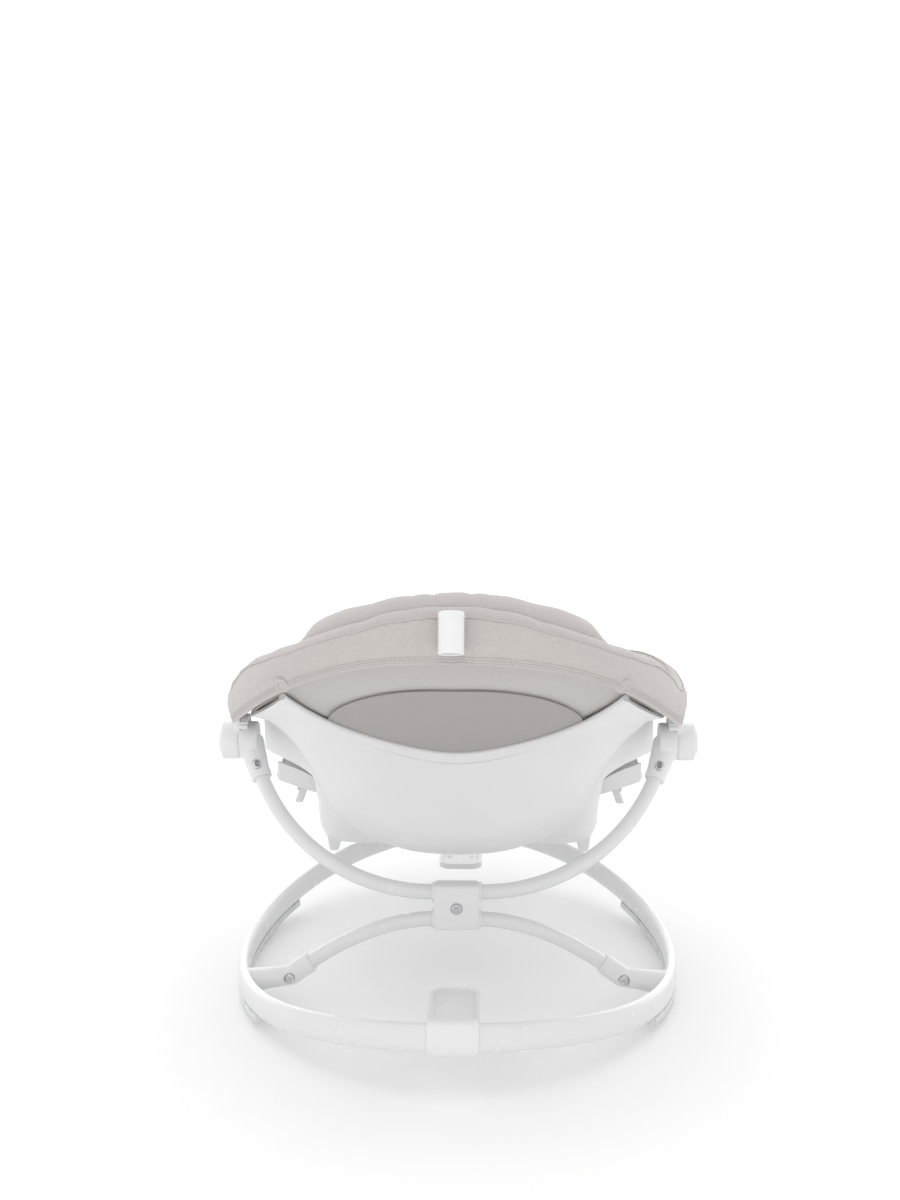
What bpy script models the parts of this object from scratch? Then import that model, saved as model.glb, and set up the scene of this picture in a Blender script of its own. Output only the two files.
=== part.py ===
"""Newborn rocking seat: curved base, swaying yoke, reclining fabric seat.

Metres, +Z up.  The head end points to -Y, the foot end to +Y and the hub axis
runs along X.  Every sub-part is its own object.
"""
import math

import bmesh
import bpy
from mathutils import Matrix, Vector

# ---------------------------------------------------------------- dimensions
GAP = 0.0003                 # clearance kept between touching parts

RING_LENGTH = 0.320          # half length of the base ring (centre line)
RING_WIDTH = 0.2093          # half width of the base ring
RING_RISE = 0.038            # how far both ends of the rocker curve rise
RING_Z = 0.0165              # height of the centre line at mid length
RAIL_TALL = 0.012            # half height of the oval rail
RAIL_THICK = 0.0055          # half thickness of the oval rail
SLEEVE_HALF = 0.0215         # half length of the stand sleeves
SKID_REACH = 0.170           # skids run this far to both ends
SKID_FLAT = 0.060            # flat middle foot of each skid

STAND_PIVOT_Y = 0.3025       # hinge axis of the fold-down stands
STAND_PIVOT_Z = 0.048
STAND_TIP_Y = 0.190
STAND_WIDE = 0.046
STAND_THICK = 0.006

CROSS_Y = -0.090             # plane of the lower cross tube
ARCH_TOP = 0.0815            # height of the lower cross tube
YOKE_LOW = 0.1078            # height of the upper cross tube
TUBE_R = 0.0071
YOKE_LEAN = 0.7229           # how much the yoke leans to the foot per rise
YOKE_FLAT = 0.024
YOKE_A = 0.181
YOKE_B = 0.155

HUB_Z = 0.2325               # recline axis
HUB_R = 0.0185
ELBOW_IN, ELBOW_OUT = 0.1950, 0.2108
ARM_IN, ARM_OUT = 0.2115, 0.2180
CAP_IN, CAP_OUT = 0.2186, 0.2300
BUTTON_OUT = 0.2325

RIM_R = 0.008
RIM_WIDE = 0.208
RIM_Z = 0.287
RIM_HEAD, RIM_HEAD_RISE = 0.362, 0.115
RIM_FOOT, RIM_FOOT_RISE = 0.3903, -0.060
RIM_HEAD_POWER, RIM_FOOT_POWER = 2.7, 3.0

WHITE = (0.86, 0.86, 0.865)
PAINT = (0.88, 0.88, 0.885)
FABRIC = (0.66, 0.62, 0.60)
FABRIC_LIGHT = (0.70, 0.67, 0.65)
WEBBING = (0.60, 0.57, 0.55)
GREY = (0.45, 0.45, 0.46)
STEEL = (0.72, 0.72, 0.73)

SIDES = (("left", -1.0), ("right", 1.0))


# ------------------------------------------------------------------- helpers
def clear_scene():
    for obj in list(bpy.data.objects):
        bpy.data.objects.remove(obj, do_unlink=True)


def collection(name):
    col = bpy.data.collections.new(name)
    bpy.context.scene.collection.children.link(col)
    return col


def material(name, colour, roughness, metallic=0.0):
    mat = bpy.data.materials.new(name)
    mat.use_nodes = True
    shader = mat.node_tree.nodes["Principled BSDF"]
    shader.inputs["Base Color"].default_value = (*colour, 1.0)
    shader.inputs["Roughness"].default_value = roughness
    shader.inputs["Metallic"].default_value = metallic
    mat.diffuse_color = (*colour, 1.0)
    return mat


def finish_bmesh(name, bm, look, hidden=False):
    bmesh.ops.recalc_face_normals(bm, faces=bm.faces)
    mesh = bpy.data.meshes.new(name)
    bm.to_mesh(mesh)
    bm.free()
    obj = bpy.data.objects.new(name, mesh)
    (CUTTERS if hidden else PARTS).objects.link(obj)
    if hidden:
        obj.hide_render = True
        obj.display_type = 'WIRE'
    else:
        mesh.materials.append(material("m_" + name, *look))
    return obj


def loft(name, rings, look, closed=False, caps=True, hidden=False):
    """Skin equal rings of points in order and cap both ends."""
    bm = bmesh.new()
    rows = [[bm.verts.new(p) for p in ring] for ring in rings]
    count = len(rows[0])
    pairs = list(zip(rows, rows[1:]))
    if closed:
        pairs.append((rows[-1], rows[0]))
    for a, b in pairs:
        for i in range(count):
            j = (i + 1) % count
            bm.faces.new((a[i], a[j], b[j], b[i]))
    if caps and not closed:
        bm.faces.new(rows[0])
        bm.faces.new(rows[-1])
    return finish_bmesh(name, bm, look, hidden)


def shell_loft(name, outer, inner, look, hidden=False):
    """Closed body between an outer and an inner loft, open right through."""
    bm = bmesh.new()
    out = [[bm.verts.new(p) for p in ring] for ring in outer]
    inn = [[bm.verts.new(p) for p in ring] for ring in inner]
    count = len(out[0])
    for rows in (out, inn):
        for a, b in zip(rows, rows[1:]):
            for i in range(count):
                j = (i + 1) % count
                bm.faces.new((a[i], a[j], b[j], b[i]))
    for a, b in ((out[0], inn[0]), (out[-1], inn[-1])):
        for i in range(count):
            j = (i + 1) % count
            bm.faces.new((a[i], a[j], b[j], b[i]))
    return finish_bmesh(name, bm, look, hidden)


def sheet_loft(name, top, under, look, hidden=False):
    """Closed body between two equal grids of points."""
    bm = bmesh.new()
    upper = [[bm.verts.new(p) for p in row] for row in top]
    lower = [[bm.verts.new(p) for p in row] for row in under]
    rows, cols = len(top), len(top[0])
    for grid in (upper, lower):
        for i in range(rows - 1):
            for j in range(cols - 1):
                bm.faces.new((grid[i][j], grid[i][j + 1],
                              grid[i + 1][j + 1], grid[i + 1][j]))
    for i in range(rows - 1):
        for j in (0, cols - 1):
            bm.faces.new((upper[i][j], upper[i + 1][j],
                          lower[i + 1][j], lower[i][j]))
    for j in range(cols - 1):
        for i in (0, rows - 1):
            bm.faces.new((upper[i][j], upper[i][j + 1],
                          lower[i][j + 1], lower[i][j]))
    return finish_bmesh(name, bm, look, hidden)


def rod(name, start, end, radius, look=None, radius_end=None, sides=20):
    """Round bar or cone from start to end; a cutter when look is None."""
    a, b = Vector(start), Vector(end)
    axis = b - a
    turn = axis.to_track_quat('Z', 'Y').to_matrix().to_4x4()
    bm = bmesh.new()
    bmesh.ops.create_cone(
        bm, cap_ends=True, segments=sides, radius1=radius,
        radius2=radius if radius_end is None else radius_end,
        depth=axis.length, matrix=Matrix.Translation((a + b) / 2) @ turn)
    return finish_bmesh(name, bm, look, hidden=look is None)


def block(name, low, high, look=None, bevel=0.0, segments=2):
    a, b = Vector(low), Vector(high)
    bm = bmesh.new()
    bmesh.ops.create_cube(bm, size=1.0, matrix=Matrix.Translation((a + b) / 2)
                          @ Matrix.Diagonal((*(b - a), 1.0)))
    if bevel:
        bmesh.ops.bevel(bm, geom=list(bm.edges), offset=bevel,
                        segments=segments, profile=0.5, affect='EDGES')
    return finish_bmesh(name, bm, look, hidden=look is None)


def tube(name, points, radius, look):
    """Round tube along a path as a bevelled curve with filled ends."""
    curve = bpy.data.curves.new(name, 'CURVE')
    curve.dimensions = '3D'
    curve.bevel_depth = radius
    curve.bevel_resolution = 2
    curve.use_fill_caps = True
    spline = curve.splines.new('POLY')
    spline.points.add(len(points) - 1)
    for slot, point in zip(spline.points, points):
        slot.co = (*point, 1.0)
    obj = bpy.data.objects.new(name, curve)
    PARTS.objects.link(obj)
    curve.materials.append(material("m_" + name, *look))
    return obj


def prism(name, outline, low, high, look=None, axis='Z'):
    """Flat outline raised between two heights along Z or X."""
    bm = bmesh.new()
    if axis == 'Z':
        base = [bm.verts.new((u, v, low)) for u, v in outline]
        push = (0.0, 0.0, high - low)
    else:
        base = [bm.verts.new((low, u, v)) for u, v in outline]
        push = (high - low, 0.0, 0.0)
    face = bm.faces.new(base)
    grown = bmesh.ops.extrude_face_region(bm, geom=[face])
    moved = [g for g in grown["geom"] if isinstance(g, bmesh.types.BMVert)]
    bmesh.ops.translate(bm, verts=moved, vec=push)
    return finish_bmesh(name, bm, look, hidden=look is None)


def combine(obj, tool, operation):
    mod = obj.modifiers.new(operation.lower(), 'BOOLEAN')
    mod.operation = operation
    mod.solver = 'EXACT'
    mod.object = tool
    return obj


def cut(obj, *tools):
    for tool in tools:
        combine(obj, tool, 'DIFFERENCE')
    return obj


def join(obj, *tools):
    for tool in tools:
        combine(obj, tool, 'UNION')
    return obj


def smooth_curve(points, count):
    """Catmull-Rom samples through control points (2D)."""
    pts = [points[0]] + list(points) + [points[-1]]
    spans = len(points) - 1
    out = []
    for k in range(count + 1):
        u = min(k / count * spans, spans - 1e-9)
        i = int(u)
        f = u - i
        a, b, c, d = (Vector(p) for p in pts[i:i + 4])
        out.append(0.5 * (2 * b + (c - a) * f + (2 * a - 5 * b + 4 * c - d) * f ** 2
                          + (3 * b - a - 3 * c + d) * f ** 3))
    return out


def rounded_outline(x0, y0, x1, y1, radii, steps=4):
    """Rectangle with one radius per corner: (x0y0, x1y0, x1y1, x0y1)."""
    corners = ((x0, y0, 1, 1), (x1, y0, -1, 1), (x1, y1, -1, -1), (x0, y1, 1, -1))
    starts = (math.pi, 1.5 * math.pi, 0.0, 0.5 * math.pi)
    out = []
    for (cx, cy, sx, sy), radius, start in zip(corners, radii, starts):
        centre = (cx + sx * radius, cy + sy * radius)
        for k in range(steps + 1):
            angle = start + k / steps * math.pi / 2
            out.append((centre[0] + radius * math.cos(angle),
                        centre[1] + radius * math.sin(angle)))
    return out


# ---------------------------------------------------------------- base curves
def ring_frame(t):
    """Centre, outward and up directions of the base ring at parameter t."""
    x, y = -RING_WIDTH * math.sin(t), RING_LENGTH * math.cos(t)
    slope = 2 * RING_RISE / RING_LENGTH ** 2 * y
    centre = Vector((x, y, RING_Z + RING_RISE * (y / RING_LENGTH) ** 2))
    run = Vector((-RING_WIDTH * math.cos(t), -RING_LENGTH * math.sin(t), 0.0))
    run.z = slope * run.y
    run.normalize()
    up = Vector((0.0, -slope, 1.0))
    up.normalize()
    out = run.cross(up)
    out.normalize()
    if out.dot(Vector((x, y, 0.0))) < 0:
        out = -out
    up = run.cross(out)
    if up.z < 0:
        up = -up
    return centre, out, up


def oval_ring(t, half_tall, half_thick, sides=12):
    centre, out, up = ring_frame(t)
    ring = []
    for k in range(sides):
        angle = (k + 0.5) / sides * 2 * math.pi
        c, s = math.cos(angle), math.sin(angle)
        ring.append(centre + out * half_thick * math.copysign(abs(c) ** 0.8, c)
                    + up * half_tall * math.copysign(abs(s) ** 0.8, s))
    return ring


def ring_stations():
    edge = math.asin(SLEEVE_HALF / RING_WIDTH)
    first = math.asin(GAP / RING_WIDTH)
    inner = [first, edge / 2, edge]
    steps = 22
    middle = [edge + (math.pi - 2 * edge) * k / steps for k in range(1, steps)]
    return inner + middle + [math.pi - t for t in reversed(inner)]


def arch_point(x):
    reach = max(abs(x) - 0.022, 0.0) / 0.098
    return Vector((x, CROSS_Y, ARCH_TOP - 0.0311 * reach ** 1.87))


def yoke_point(x):
    reach = max(abs(x) - YOKE_FLAT, 0.0) / YOKE_A
    z = YOKE_LOW + YOKE_B * (1 - math.sqrt(1 - reach ** 2))
    return Vector((x, CROSS_Y + (z - YOKE_LOW) * YOKE_LEAN, z))


def rim_point(s, side, grow=0.0):
    """Seat rim: s from -1 (head) over 0 (hub) to 1 (foot)."""
    length = RIM_HEAD if s < 0 else RIM_FOOT
    taper = 0.11 if s < 0 else 0.16
    rise = RIM_HEAD_RISE if s < 0 else RIM_FOOT_RISE
    power = RIM_HEAD_POWER if s < 0 else RIM_FOOT_POWER
    a = min(abs(s), 1.0)
    slim = max(a - 0.09, 0.0) / 0.91
    x = (RIM_WIDE * (1 - taper * slim) + grow) * (1 - a ** power) ** (1 / power)
    y = math.copysign((length + grow) * a, s)
    return Vector((side * x, y, RIM_Z + rise * a ** 2.0))


def rim_levels(count):
    """Values of s from 0 to 1, closer together at the round end."""
    return [math.sin(k / count * math.pi / 2) for k in range(count + 1)]


# --------------------------------------------------------------------- base
def build_rails():
    for name, side in SIDES:
        rings = []
        for t in ring_stations():
            ring = oval_ring(t, RAIL_TALL, RAIL_THICK)
            rings.append([Vector((side * -p.x, p.y, p.z)) for p in ring])
        loft("rail_" + name, rings, (PAINT, 0.3, 0.0))


def build_skids():
    reach = math.acos(SKID_REACH / RING_LENGTH)
    for name, side in SIDES:
        rings = []
        for k in range(15):
            t = reach + (math.pi - 2 * reach) * k / 14
            centre, out, up = ring_frame(t)
            top = centre - up * (RAIL_TALL + GAP)
            rise = max(centre.y ** 2 - SKID_FLAT ** 2, 0.0)
            low = RING_RISE / RING_LENGTH ** 2 * rise
            ring = []
            for du, dz in ((-0.0045, 0), (0.0045, 0), (0.0045, 1), (-0.0045, 1)):
                p = top + out * du
                z = low if dz else p.z
                ring.append(Vector((-side * p.x, p.y, z)))
            rings.append(ring)
        loft("rocker_skid_" + name, rings, (GREY, 0.7, 0.0))


def build_sleeves():
    edge = math.asin(SLEEVE_HALF / RING_WIDTH)
    for name, base in (("head", math.pi), ("foot", 0.0)):
        sign = -1.0 if name == "head" else 1.0
        stations = [base + edge * k / 2 for k in range(-2, 3)]
        outer = [oval_ring(t, RAIL_TALL + 0.0032, RAIL_THICK + 0.0035) for t in stations]
        inner = [oval_ring(t, RAIL_TALL + 0.0004, RAIL_THICK + 0.0004) for t in stations]
        sleeve = shell_loft(name + "_sleeve", outer, inner, (WHITE, 0.4, 0.0))
        y = sign * STAND_PIVOT_Y
        for side in (-1.0, 1.0):
            x0, x1 = side * 0.0135, side * 0.0205
            ear = rod("ear_%s_%d" % (name, side), (x0, y, STAND_PIVOT_Z),
                      (x1, y, STAND_PIVOT_Z), 0.0045, sides=16)
            low = (min(x0, x1) + 0.0004, min(y, y + sign * 0.0099), STAND_PIVOT_Z - 0.0030)
            high = (max(x0, x1) - 0.0004, max(y, y + sign * 0.0099), STAND_PIVOT_Z + 0.0041)
            web = block("web_%s_%d" % (name, side), low, high)
            join(sleeve, ear, web)
        hole = rod("pin_hole_" + name, (-0.03, y, STAND_PIVOT_Z),
                   (0.03, y, STAND_PIVOT_Z), 0.0022, sides=12)
        cut(sleeve, hole)
        rod(name + "_stand_pin", (-0.0212, y, STAND_PIVOT_Z),
            (0.0212, y, STAND_PIVOT_Z), 0.0018, (STEEL, 0.3, 1.0), sides=12)
        build_stand(name, sign, hole)


def build_stand(name, sign, hole):
    """Fold-down stand: a rimmed plate with a barrel on the hinge pin."""
    y = sign * STAND_PIVOT_Y
    start = y - sign * 0.0060
    tip = sign * STAND_TIP_Y
    half = STAND_WIDE / 2
    low_y, high_y = min(start, tip), max(start, tip)
    radii = (0.004, 0.004, 0.014, 0.014) if sign < 0 else (0.014, 0.014, 0.004, 0.004)
    plate = prism(name + "_stand", rounded_outline(-half, low_y, half, high_y, radii),
                  STAND_PIVOT_Z - STAND_THICK / 2, STAND_PIVOT_Z + STAND_THICK / 2,
                  (WHITE, 0.4, 0.0))
    wall = 0.0042
    inner_radii = tuple(max(r - wall, 0.003) for r in radii)
    recess = prism("recess_" + name,
                   rounded_outline(-half + wall, low_y + wall, half - wall,
                                   high_y - wall, inner_radii),
                   STAND_PIVOT_Z - 0.0006, STAND_PIVOT_Z + 0.01)
    barrel = rod("barrel_" + name, (-0.0130, y, STAND_PIVOT_Z),
                 (0.0130, y, STAND_PIVOT_Z), 0.0040, sides=16)
    neck = block("neck_" + name,
                 (-0.0126, min(y, start - sign * 0.003), STAND_PIVOT_Z - 0.0028),
                 (0.0126, max(y, start - sign * 0.003), STAND_PIVOT_Z + 0.0028))
    cut(plate, recess)
    join(plate, barrel, neck)
    cut(plate, hole)


def build_cross_tube():
    """Lower cross tube with its two sockets and their screws."""
    xs = [-0.130, -0.118, -0.104, -0.088, -0.070, -0.050, -0.034, -0.0225]
    left = [arch_point(x) for x in xs]
    drop = Vector((-0.8192, 0.0, -0.5736))
    mouth = arch_point(-0.1375)
    end = mouth + drop * 0.017
    points = [end, mouth] + left
    points += [Vector((-p.x, p.y, p.z)) for p in reversed(points)]
    tube("arch_tube", points, TUBE_R, (PAINT, 0.3, 0.0))
    ring_centre, out, up = ring_frame(math.radians(106.5))
    foot = ring_centre - out * (RAIL_THICK + 0.0006)
    for name, side in SIDES:
        rings = []
        for f, wide, tall in ((0.0, 0.0140, 0.0105), (0.10, 0.0125, 0.0100),
                              (0.35, 0.0108, 0.0098), (0.65, 0.0102, 0.0100),
                              (1.0, 0.0097, 0.0097)):
            knee = mouth + drop * 0.024
            mid = foot.lerp(knee, min(f / 0.5, 1.0)) if f <= 0.5 else \
                knee.lerp(mouth, (f - 0.5) / 0.5)
            run = (-out).lerp(-drop, min(f * 1.6, 1.0)).normalized()
            flat = Vector((0.0, 1.0, 0.0))
            across = (flat - run * flat.dot(run)).normalized()
            rise = run.cross(across)
            ring = []
            for k in range(16):
                a = k / 16 * 2 * math.pi
                p = mid + across * wide * math.cos(a) + rise * tall * math.sin(a)
                ring.append(Vector((-side * p.x, p.y, p.z)))
            rings.append(ring)
        socket = loft("arch_socket_" + name, rings, (WHITE, 0.4, 0.0))
        a, b = mouth - drop * 0.02, mouth + drop * 0.0185
        bore = rod("socket_bore_" + name, (-side * a.x, a.y, a.z),
                   (-side * b.x, b.y, b.z), TUBE_R + 0.0005, sides=16)
        seat = mouth + drop * 0.0245
        hole = rod("screw_hole_" + name, (-side * seat.x, seat.y - 0.002, seat.z),
                   (-side * seat.x, seat.y - 0.03, seat.z), 0.0023, sides=12)
        flat = rod("screw_flat_" + name, (-side * seat.x, seat.y - 0.0092, seat.z),
                   (-side * seat.x, seat.y - 0.03, seat.z), 0.0052, sides=16)
        cut(socket, bore, hole, flat)
        build_screw("socket_screw_" + name, Vector((-side * seat.x, seat.y - 0.0095, seat.z)),
                    Vector((0.0, -1.0, 0.0)), 0.0045, 0.0060)


def build_screw(name, seat, direction, head, length):
    """Pan-head screw: turned head and shank with a cross recess."""
    axis = Vector(direction).normalized()
    profile = ((0.0, -length), (0.0019, -length), (0.0019, 0.0), (head, 0.0),
               (head, 0.0007), (head * 0.75, 0.0016), (0.0, 0.0020))
    side = axis.orthogonal().normalized()
    other = axis.cross(side)
    bm = bmesh.new()
    sides = 14
    rows = []
    for radius, height in profile:
        centre = seat + axis * height
        if radius == 0.0:
            rows.append([bm.verts.new(centre)])
            continue
        rows.append([bm.verts.new(centre + side * radius * math.cos(a)
                                  + other * radius * math.sin(a))
                     for a in (k / sides * 2 * math.pi for k in range(sides))])
    for a, b in zip(rows, rows[1:]):
        for k in range(sides):
            j = (k + 1) % sides
            ring = [a[0]] if len(a) == 1 else [a[k], a[j]]
            ring += [b[0]] if len(b) == 1 else [b[j], b[k]]
            bm.faces.new(ring)
    screw = finish_bmesh(name, bm, (STEEL, 0.25, 1.0))
    turn = axis.to_track_quat('Z', 'Y').to_matrix().to_4x4()
    for k in range(2):
        spin = Matrix.Rotation(k * math.pi / 2, 4, 'Z')
        slot = bmesh.new()
        bmesh.ops.create_cube(
            slot, size=1.0, matrix=Matrix.Translation(seat + axis * 0.0020) @ turn @ spin
            @ Matrix.Diagonal((head * 1.1, 0.0009, 0.0018, 1.0)))
        cut(screw, finish_bmesh("slot_%s_%d" % (name, k), slot, None, hidden=True))


# --------------------------------------------------------------------- yoke
def yoke_path():
    last = 0.1896
    xs = [YOKE_FLAT * 0.9] + [YOKE_FLAT + (last - YOKE_FLAT) * math.sin(k / 13 * math.pi / 2)
                              for k in range(1, 14)]
    half = [yoke_point(-x) for x in xs]
    run = (yoke_point(-last) - yoke_point(-last + 0.0004)).normalized()
    end = half[-1] + run * 0.0175
    half.append(end)
    return half, run


def build_yoke():
    half, run = yoke_path()
    points = list(reversed(half)) + [Vector((-p.x, p.y, p.z)) for p in half]
    tube("yoke_tube", points, TUBE_R, (PAINT, 0.3, 0.0))
    mid = (ARCH_TOP + YOKE_LOW) / 2
    bracket = block("pivot_bracket", (-0.0215, CROSS_Y - 0.0112, mid - 0.0218),
                    (0.0215, CROSS_Y + 0.0112, mid + 0.0218), (WHITE, 0.4, 0.0),
                    bevel=0.0035, segments=3)
    for name, z in (("low", ARCH_TOP), ("high", YOKE_LOW)):
        cut(bracket, rod("bracket_bore_" + name, (-0.03, CROSS_Y, z),
                         (0.03, CROSS_Y, z), TUBE_R + 0.0004, sides=20))
    front = CROSS_Y - 0.0112
    cut(bracket, rod("bracket_sink", (0.0, front - 0.01, mid), (0.0, front + 0.0012, mid),
                     0.0055, sides=16),
        rod("bracket_hole", (0.0, front - 0.01, mid), (0.0, front + 0.016, mid),
            0.0023, sides=12))
    build_screw("bracket_screw", Vector((0.0, front + 0.0009, mid)),
                Vector((0.0, -1.0, 0.0)), 0.0045, 0.012)
    mouth = half[-2]
    for name, side in SIDES:
        build_elbow(name, side, mouth, run)


def build_elbow(name, side, mouth, run):
    """Hub collar with the sleeve that grips the yoke tube."""
    def flip(p):
        return Vector((-side * p.x, p.y, p.z))
    elbow = rod("hub_elbow_" + name, (side * ELBOW_IN, 0, HUB_Z),
                (side * ELBOW_OUT, 0, HUB_Z), HUB_R, (WHITE, 0.4, 0.0), sides=28)
    hub = Vector((-0.2025, 0.0, HUB_Z))
    low = mouth - run * 0.0005
    neck = rod("elbow_neck_" + name, flip(low), flip(low + run * 0.018), 0.0098,
               radius_end=0.0104, sides=18)
    body = rod("elbow_body_" + name, flip(low + run * 0.0175), flip(hub), 0.0104,
               radius_end=0.0078, sides=18)
    bore = rod("elbow_bore_" + name, flip(mouth - run * 0.01), flip(mouth + run * 0.0182),
               TUBE_R + 0.0004, sides=18)
    axle_bore = rod("axle_bore_" + name, (side * 0.19, 0, HUB_Z), (side * 0.22, 0, HUB_Z),
                    0.0063, sides=18)
    join(elbow, neck, body)
    cut(elbow, bore, axle_bore)
    front = Vector((0.0, -0.81, 0.586))
    seat = mouth + run * 0.0120
    top = flip(seat + front * 0.0100)
    cut(elbow, rod("rivet_sink_" + name, top + front * 0.01, top - front * 0.0008, 0.0052,
                   sides=14),
        rod("rivet_hole_" + name, top + front * 0.01, top - front * 0.006, 0.0023,
            sides=12))
    build_screw("hub_rivet_" + name, top - front * 0.0005, front, 0.0043, 0.0018)
    rod("hub_axle_" + name, (side * (ELBOW_IN + 0.001), 0, HUB_Z),
        (side * (ARM_OUT - 0.0010), 0, HUB_Z), 0.0060, (STEEL, 0.35, 1.0), sides=18)


# --------------------------------------------------------------- seat frame
def build_arms():
    for name, side in SIDES:
        arm = rod("seat_arm_" + name, (side * ARM_IN, 0, HUB_Z), (side * ARM_OUT, 0, HUB_Z),
                  0.0195, (WHITE, 0.4, 0.0), sides=28)
        x0, x1 = sorted((side * ARM_IN, side * ARM_OUT))
        web = block("arm_web_" + name, (x0 + 0.0004, -0.0150, HUB_Z + 0.009),
                    (x1 - 0.0004, 0.0150, RIM_Z + 0.004))
        centre = side * RIM_WIDE
        sleeve = rod("arm_sleeve_" + name, (centre, -0.030, RIM_Z), (centre, 0.030, RIM_Z),
                     0.0102, sides=20)
        outline = [(0.0203 * math.cos(math.radians(a)),
                    HUB_Z + 0.0203 * math.sin(math.radians(a))) for a in range(130, 49, -10)]
        for k in range(17):
            a = math.radians(50 + 5 * k)
            radius = 0.0255 if k % 2 else 0.0235
            outline.append((radius * math.cos(a), HUB_Z + radius * math.sin(a)))
        rack_in, rack_out = side * 0.2040, side * 0.2125
        rack = prism("rack_" + name, outline, min(rack_in, rack_out),
                     max(rack_in, rack_out), axis='X')
        bore = rod("arm_bore_" + name, (centre, -0.05, RIM_Z), (centre, 0.05, RIM_Z),
                   RIM_R + 0.0004, sides=20)
        hole = rod("arm_hole_" + name, (side * 0.2, 0, HUB_Z), (side * 0.2174, 0, HUB_Z),
                   0.0063, sides=18)
        join(arm, web, sleeve, rack)
        cut(arm, bore, hole)


def build_caps():
    """Hub cover ring with the round release button in its middle."""
    for name, side in SIDES:
        cap = rod("hub_cap_" + name, (side * CAP_IN, 0, HUB_Z),
                  (side * CAP_OUT, 0, HUB_Z), HUB_R, (WHITE, 0.4, 0.0), sides=28)
        cut(cap, rod("button_well_" + name, (side * (CAP_IN + 0.0030), 0, HUB_Z),
                     (side * 0.26, 0, HUB_Z), 0.0135, sides=28))
        rod("hub_button_" + name, (side * (CAP_IN + 0.0080), 0, HUB_Z),
            (side * BUTTON_OUT, 0, HUB_Z), 0.0130, (WHITE, 0.4, 0.0),
            radius_end=0.0126, sides=28)


def rim_half(sign):
    levels = rim_levels(12)[1:]
    start = Vector((-RIM_WIDE, sign * 0.0008, RIM_Z))
    straight = Vector((-RIM_WIDE, sign * 0.031, RIM_Z))
    half = [start, straight] + [rim_point(sign * s, -1.0) for s in levels
                                if s > 0.12]
    other = [Vector((-p.x, p.y, p.z)) for p in reversed(half[:-1])]
    return half + other


def build_rim():
    tube("rim_head", rim_half(-1.0), RIM_R, (PAINT, 0.35, 0.0))
    tube("rim_foot", rim_half(1.0), RIM_R, (PAINT, 0.35, 0.0))


SHELL_LOW = ((0.0, 0.1377), (0.045, 0.1418), (0.087, 0.1571), (0.117, 0.180),
             (0.137, 0.212), (0.157, 0.2376), (0.1885, 0.2600))
SHELL_FLOOR = ((0.0, 0.131), (0.060, 0.131), (0.104, 0.135), (0.124, 0.150),
               (0.136, 0.180), (0.150, 0.210), (0.1860, 0.2170))
SHELL_BACK = ((0.0, 0.121), (0.060, 0.121), (0.108, 0.124), (0.124, 0.134),
              (0.134, 0.152), (0.141, 0.176), (0.165, 0.200))


def shell_rows(count):
    """Outer skin of the seat shell as rows across, from lip to back edge."""
    low = smooth_curve(SHELL_LOW, count)
    floor = smooth_curve(SHELL_FLOOR, count)
    back = smooth_curve(SHELL_BACK, count)
    rows = [[] for _ in range(7)]
    for k in range(count + 1):
        u = k / count
        lip = Vector((0.1730 * u, -0.105 + 0.140 * u * u, 0.2440 + 0.0240 * u * u))
        flange = Vector((low[k].x, -0.060 + 0.070 * u ** 3, low[k].y))
        face = flange - lip
        out = Vector((0.0, -1.0, -0.25))
        rows[0].append(lip)
        rows[1].append(lip + face * 0.35 + out * 0.0085 * (1 - u))
        rows[2].append(lip + face * 0.70 + out * 0.0140 * (1 - u * u))
        rows[3].append(lip + face * 0.88 + out * 0.0085 * (1 - u * u))
        rows[4].append(flange)
        rows[5].append(Vector((floor[k].x, 0.0, floor[k].y)))
        rows[6].append(Vector((back[k].x, 0.062, back[k].y)))
    full = []
    for row in rows:
        left = [Vector((-p.x, p.y, p.z)) for p in reversed(row[1:])]
        full.append(left + row)
    return full


def build_shell():
    outer = shell_rows(10)
    rows, cols = len(outer), len(outer[0])
    thick = 0.0030
    inner = []
    for i in range(rows):
        line = []
        for j in range(cols):
            a = outer[max(i - 1, 0)][j]
            b = outer[min(i + 1, rows - 1)][j]
            c = outer[i][max(j - 1, 0)]
            d = outer[i][min(j + 1, cols - 1)]
            normal = (b - a).cross(d - c).normalized()
            if normal.z < 0 and normal.y < 0.5:
                normal = -normal
            line.append(outer[i][j] + normal * thick)
        inner.append(line)
    shell = sheet_loft("seat_shell", outer, inner, (WHITE, 0.35, 0.0))
    for name, side in SIDES:
        foot = loft("dock_foot_" + name, [
            [Vector((side * x, y, z)) for x, y in ((0.116, 0.044), (0.131, 0.044),
                                                   (0.131, 0.060), (0.116, 0.060))]
            for z in (0.138,)] + [
            [Vector((side * x, y, 0.107)) for x, y in ((0.124, 0.047), (0.1285, 0.047),
                                                       (0.1285, 0.057), (0.124, 0.057))]],
            None, hidden=True)
        join(shell, foot)


LEVER_X, LEVER_Y, LEVER_Z = 0.1600, 0.0960, 0.1615


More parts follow.
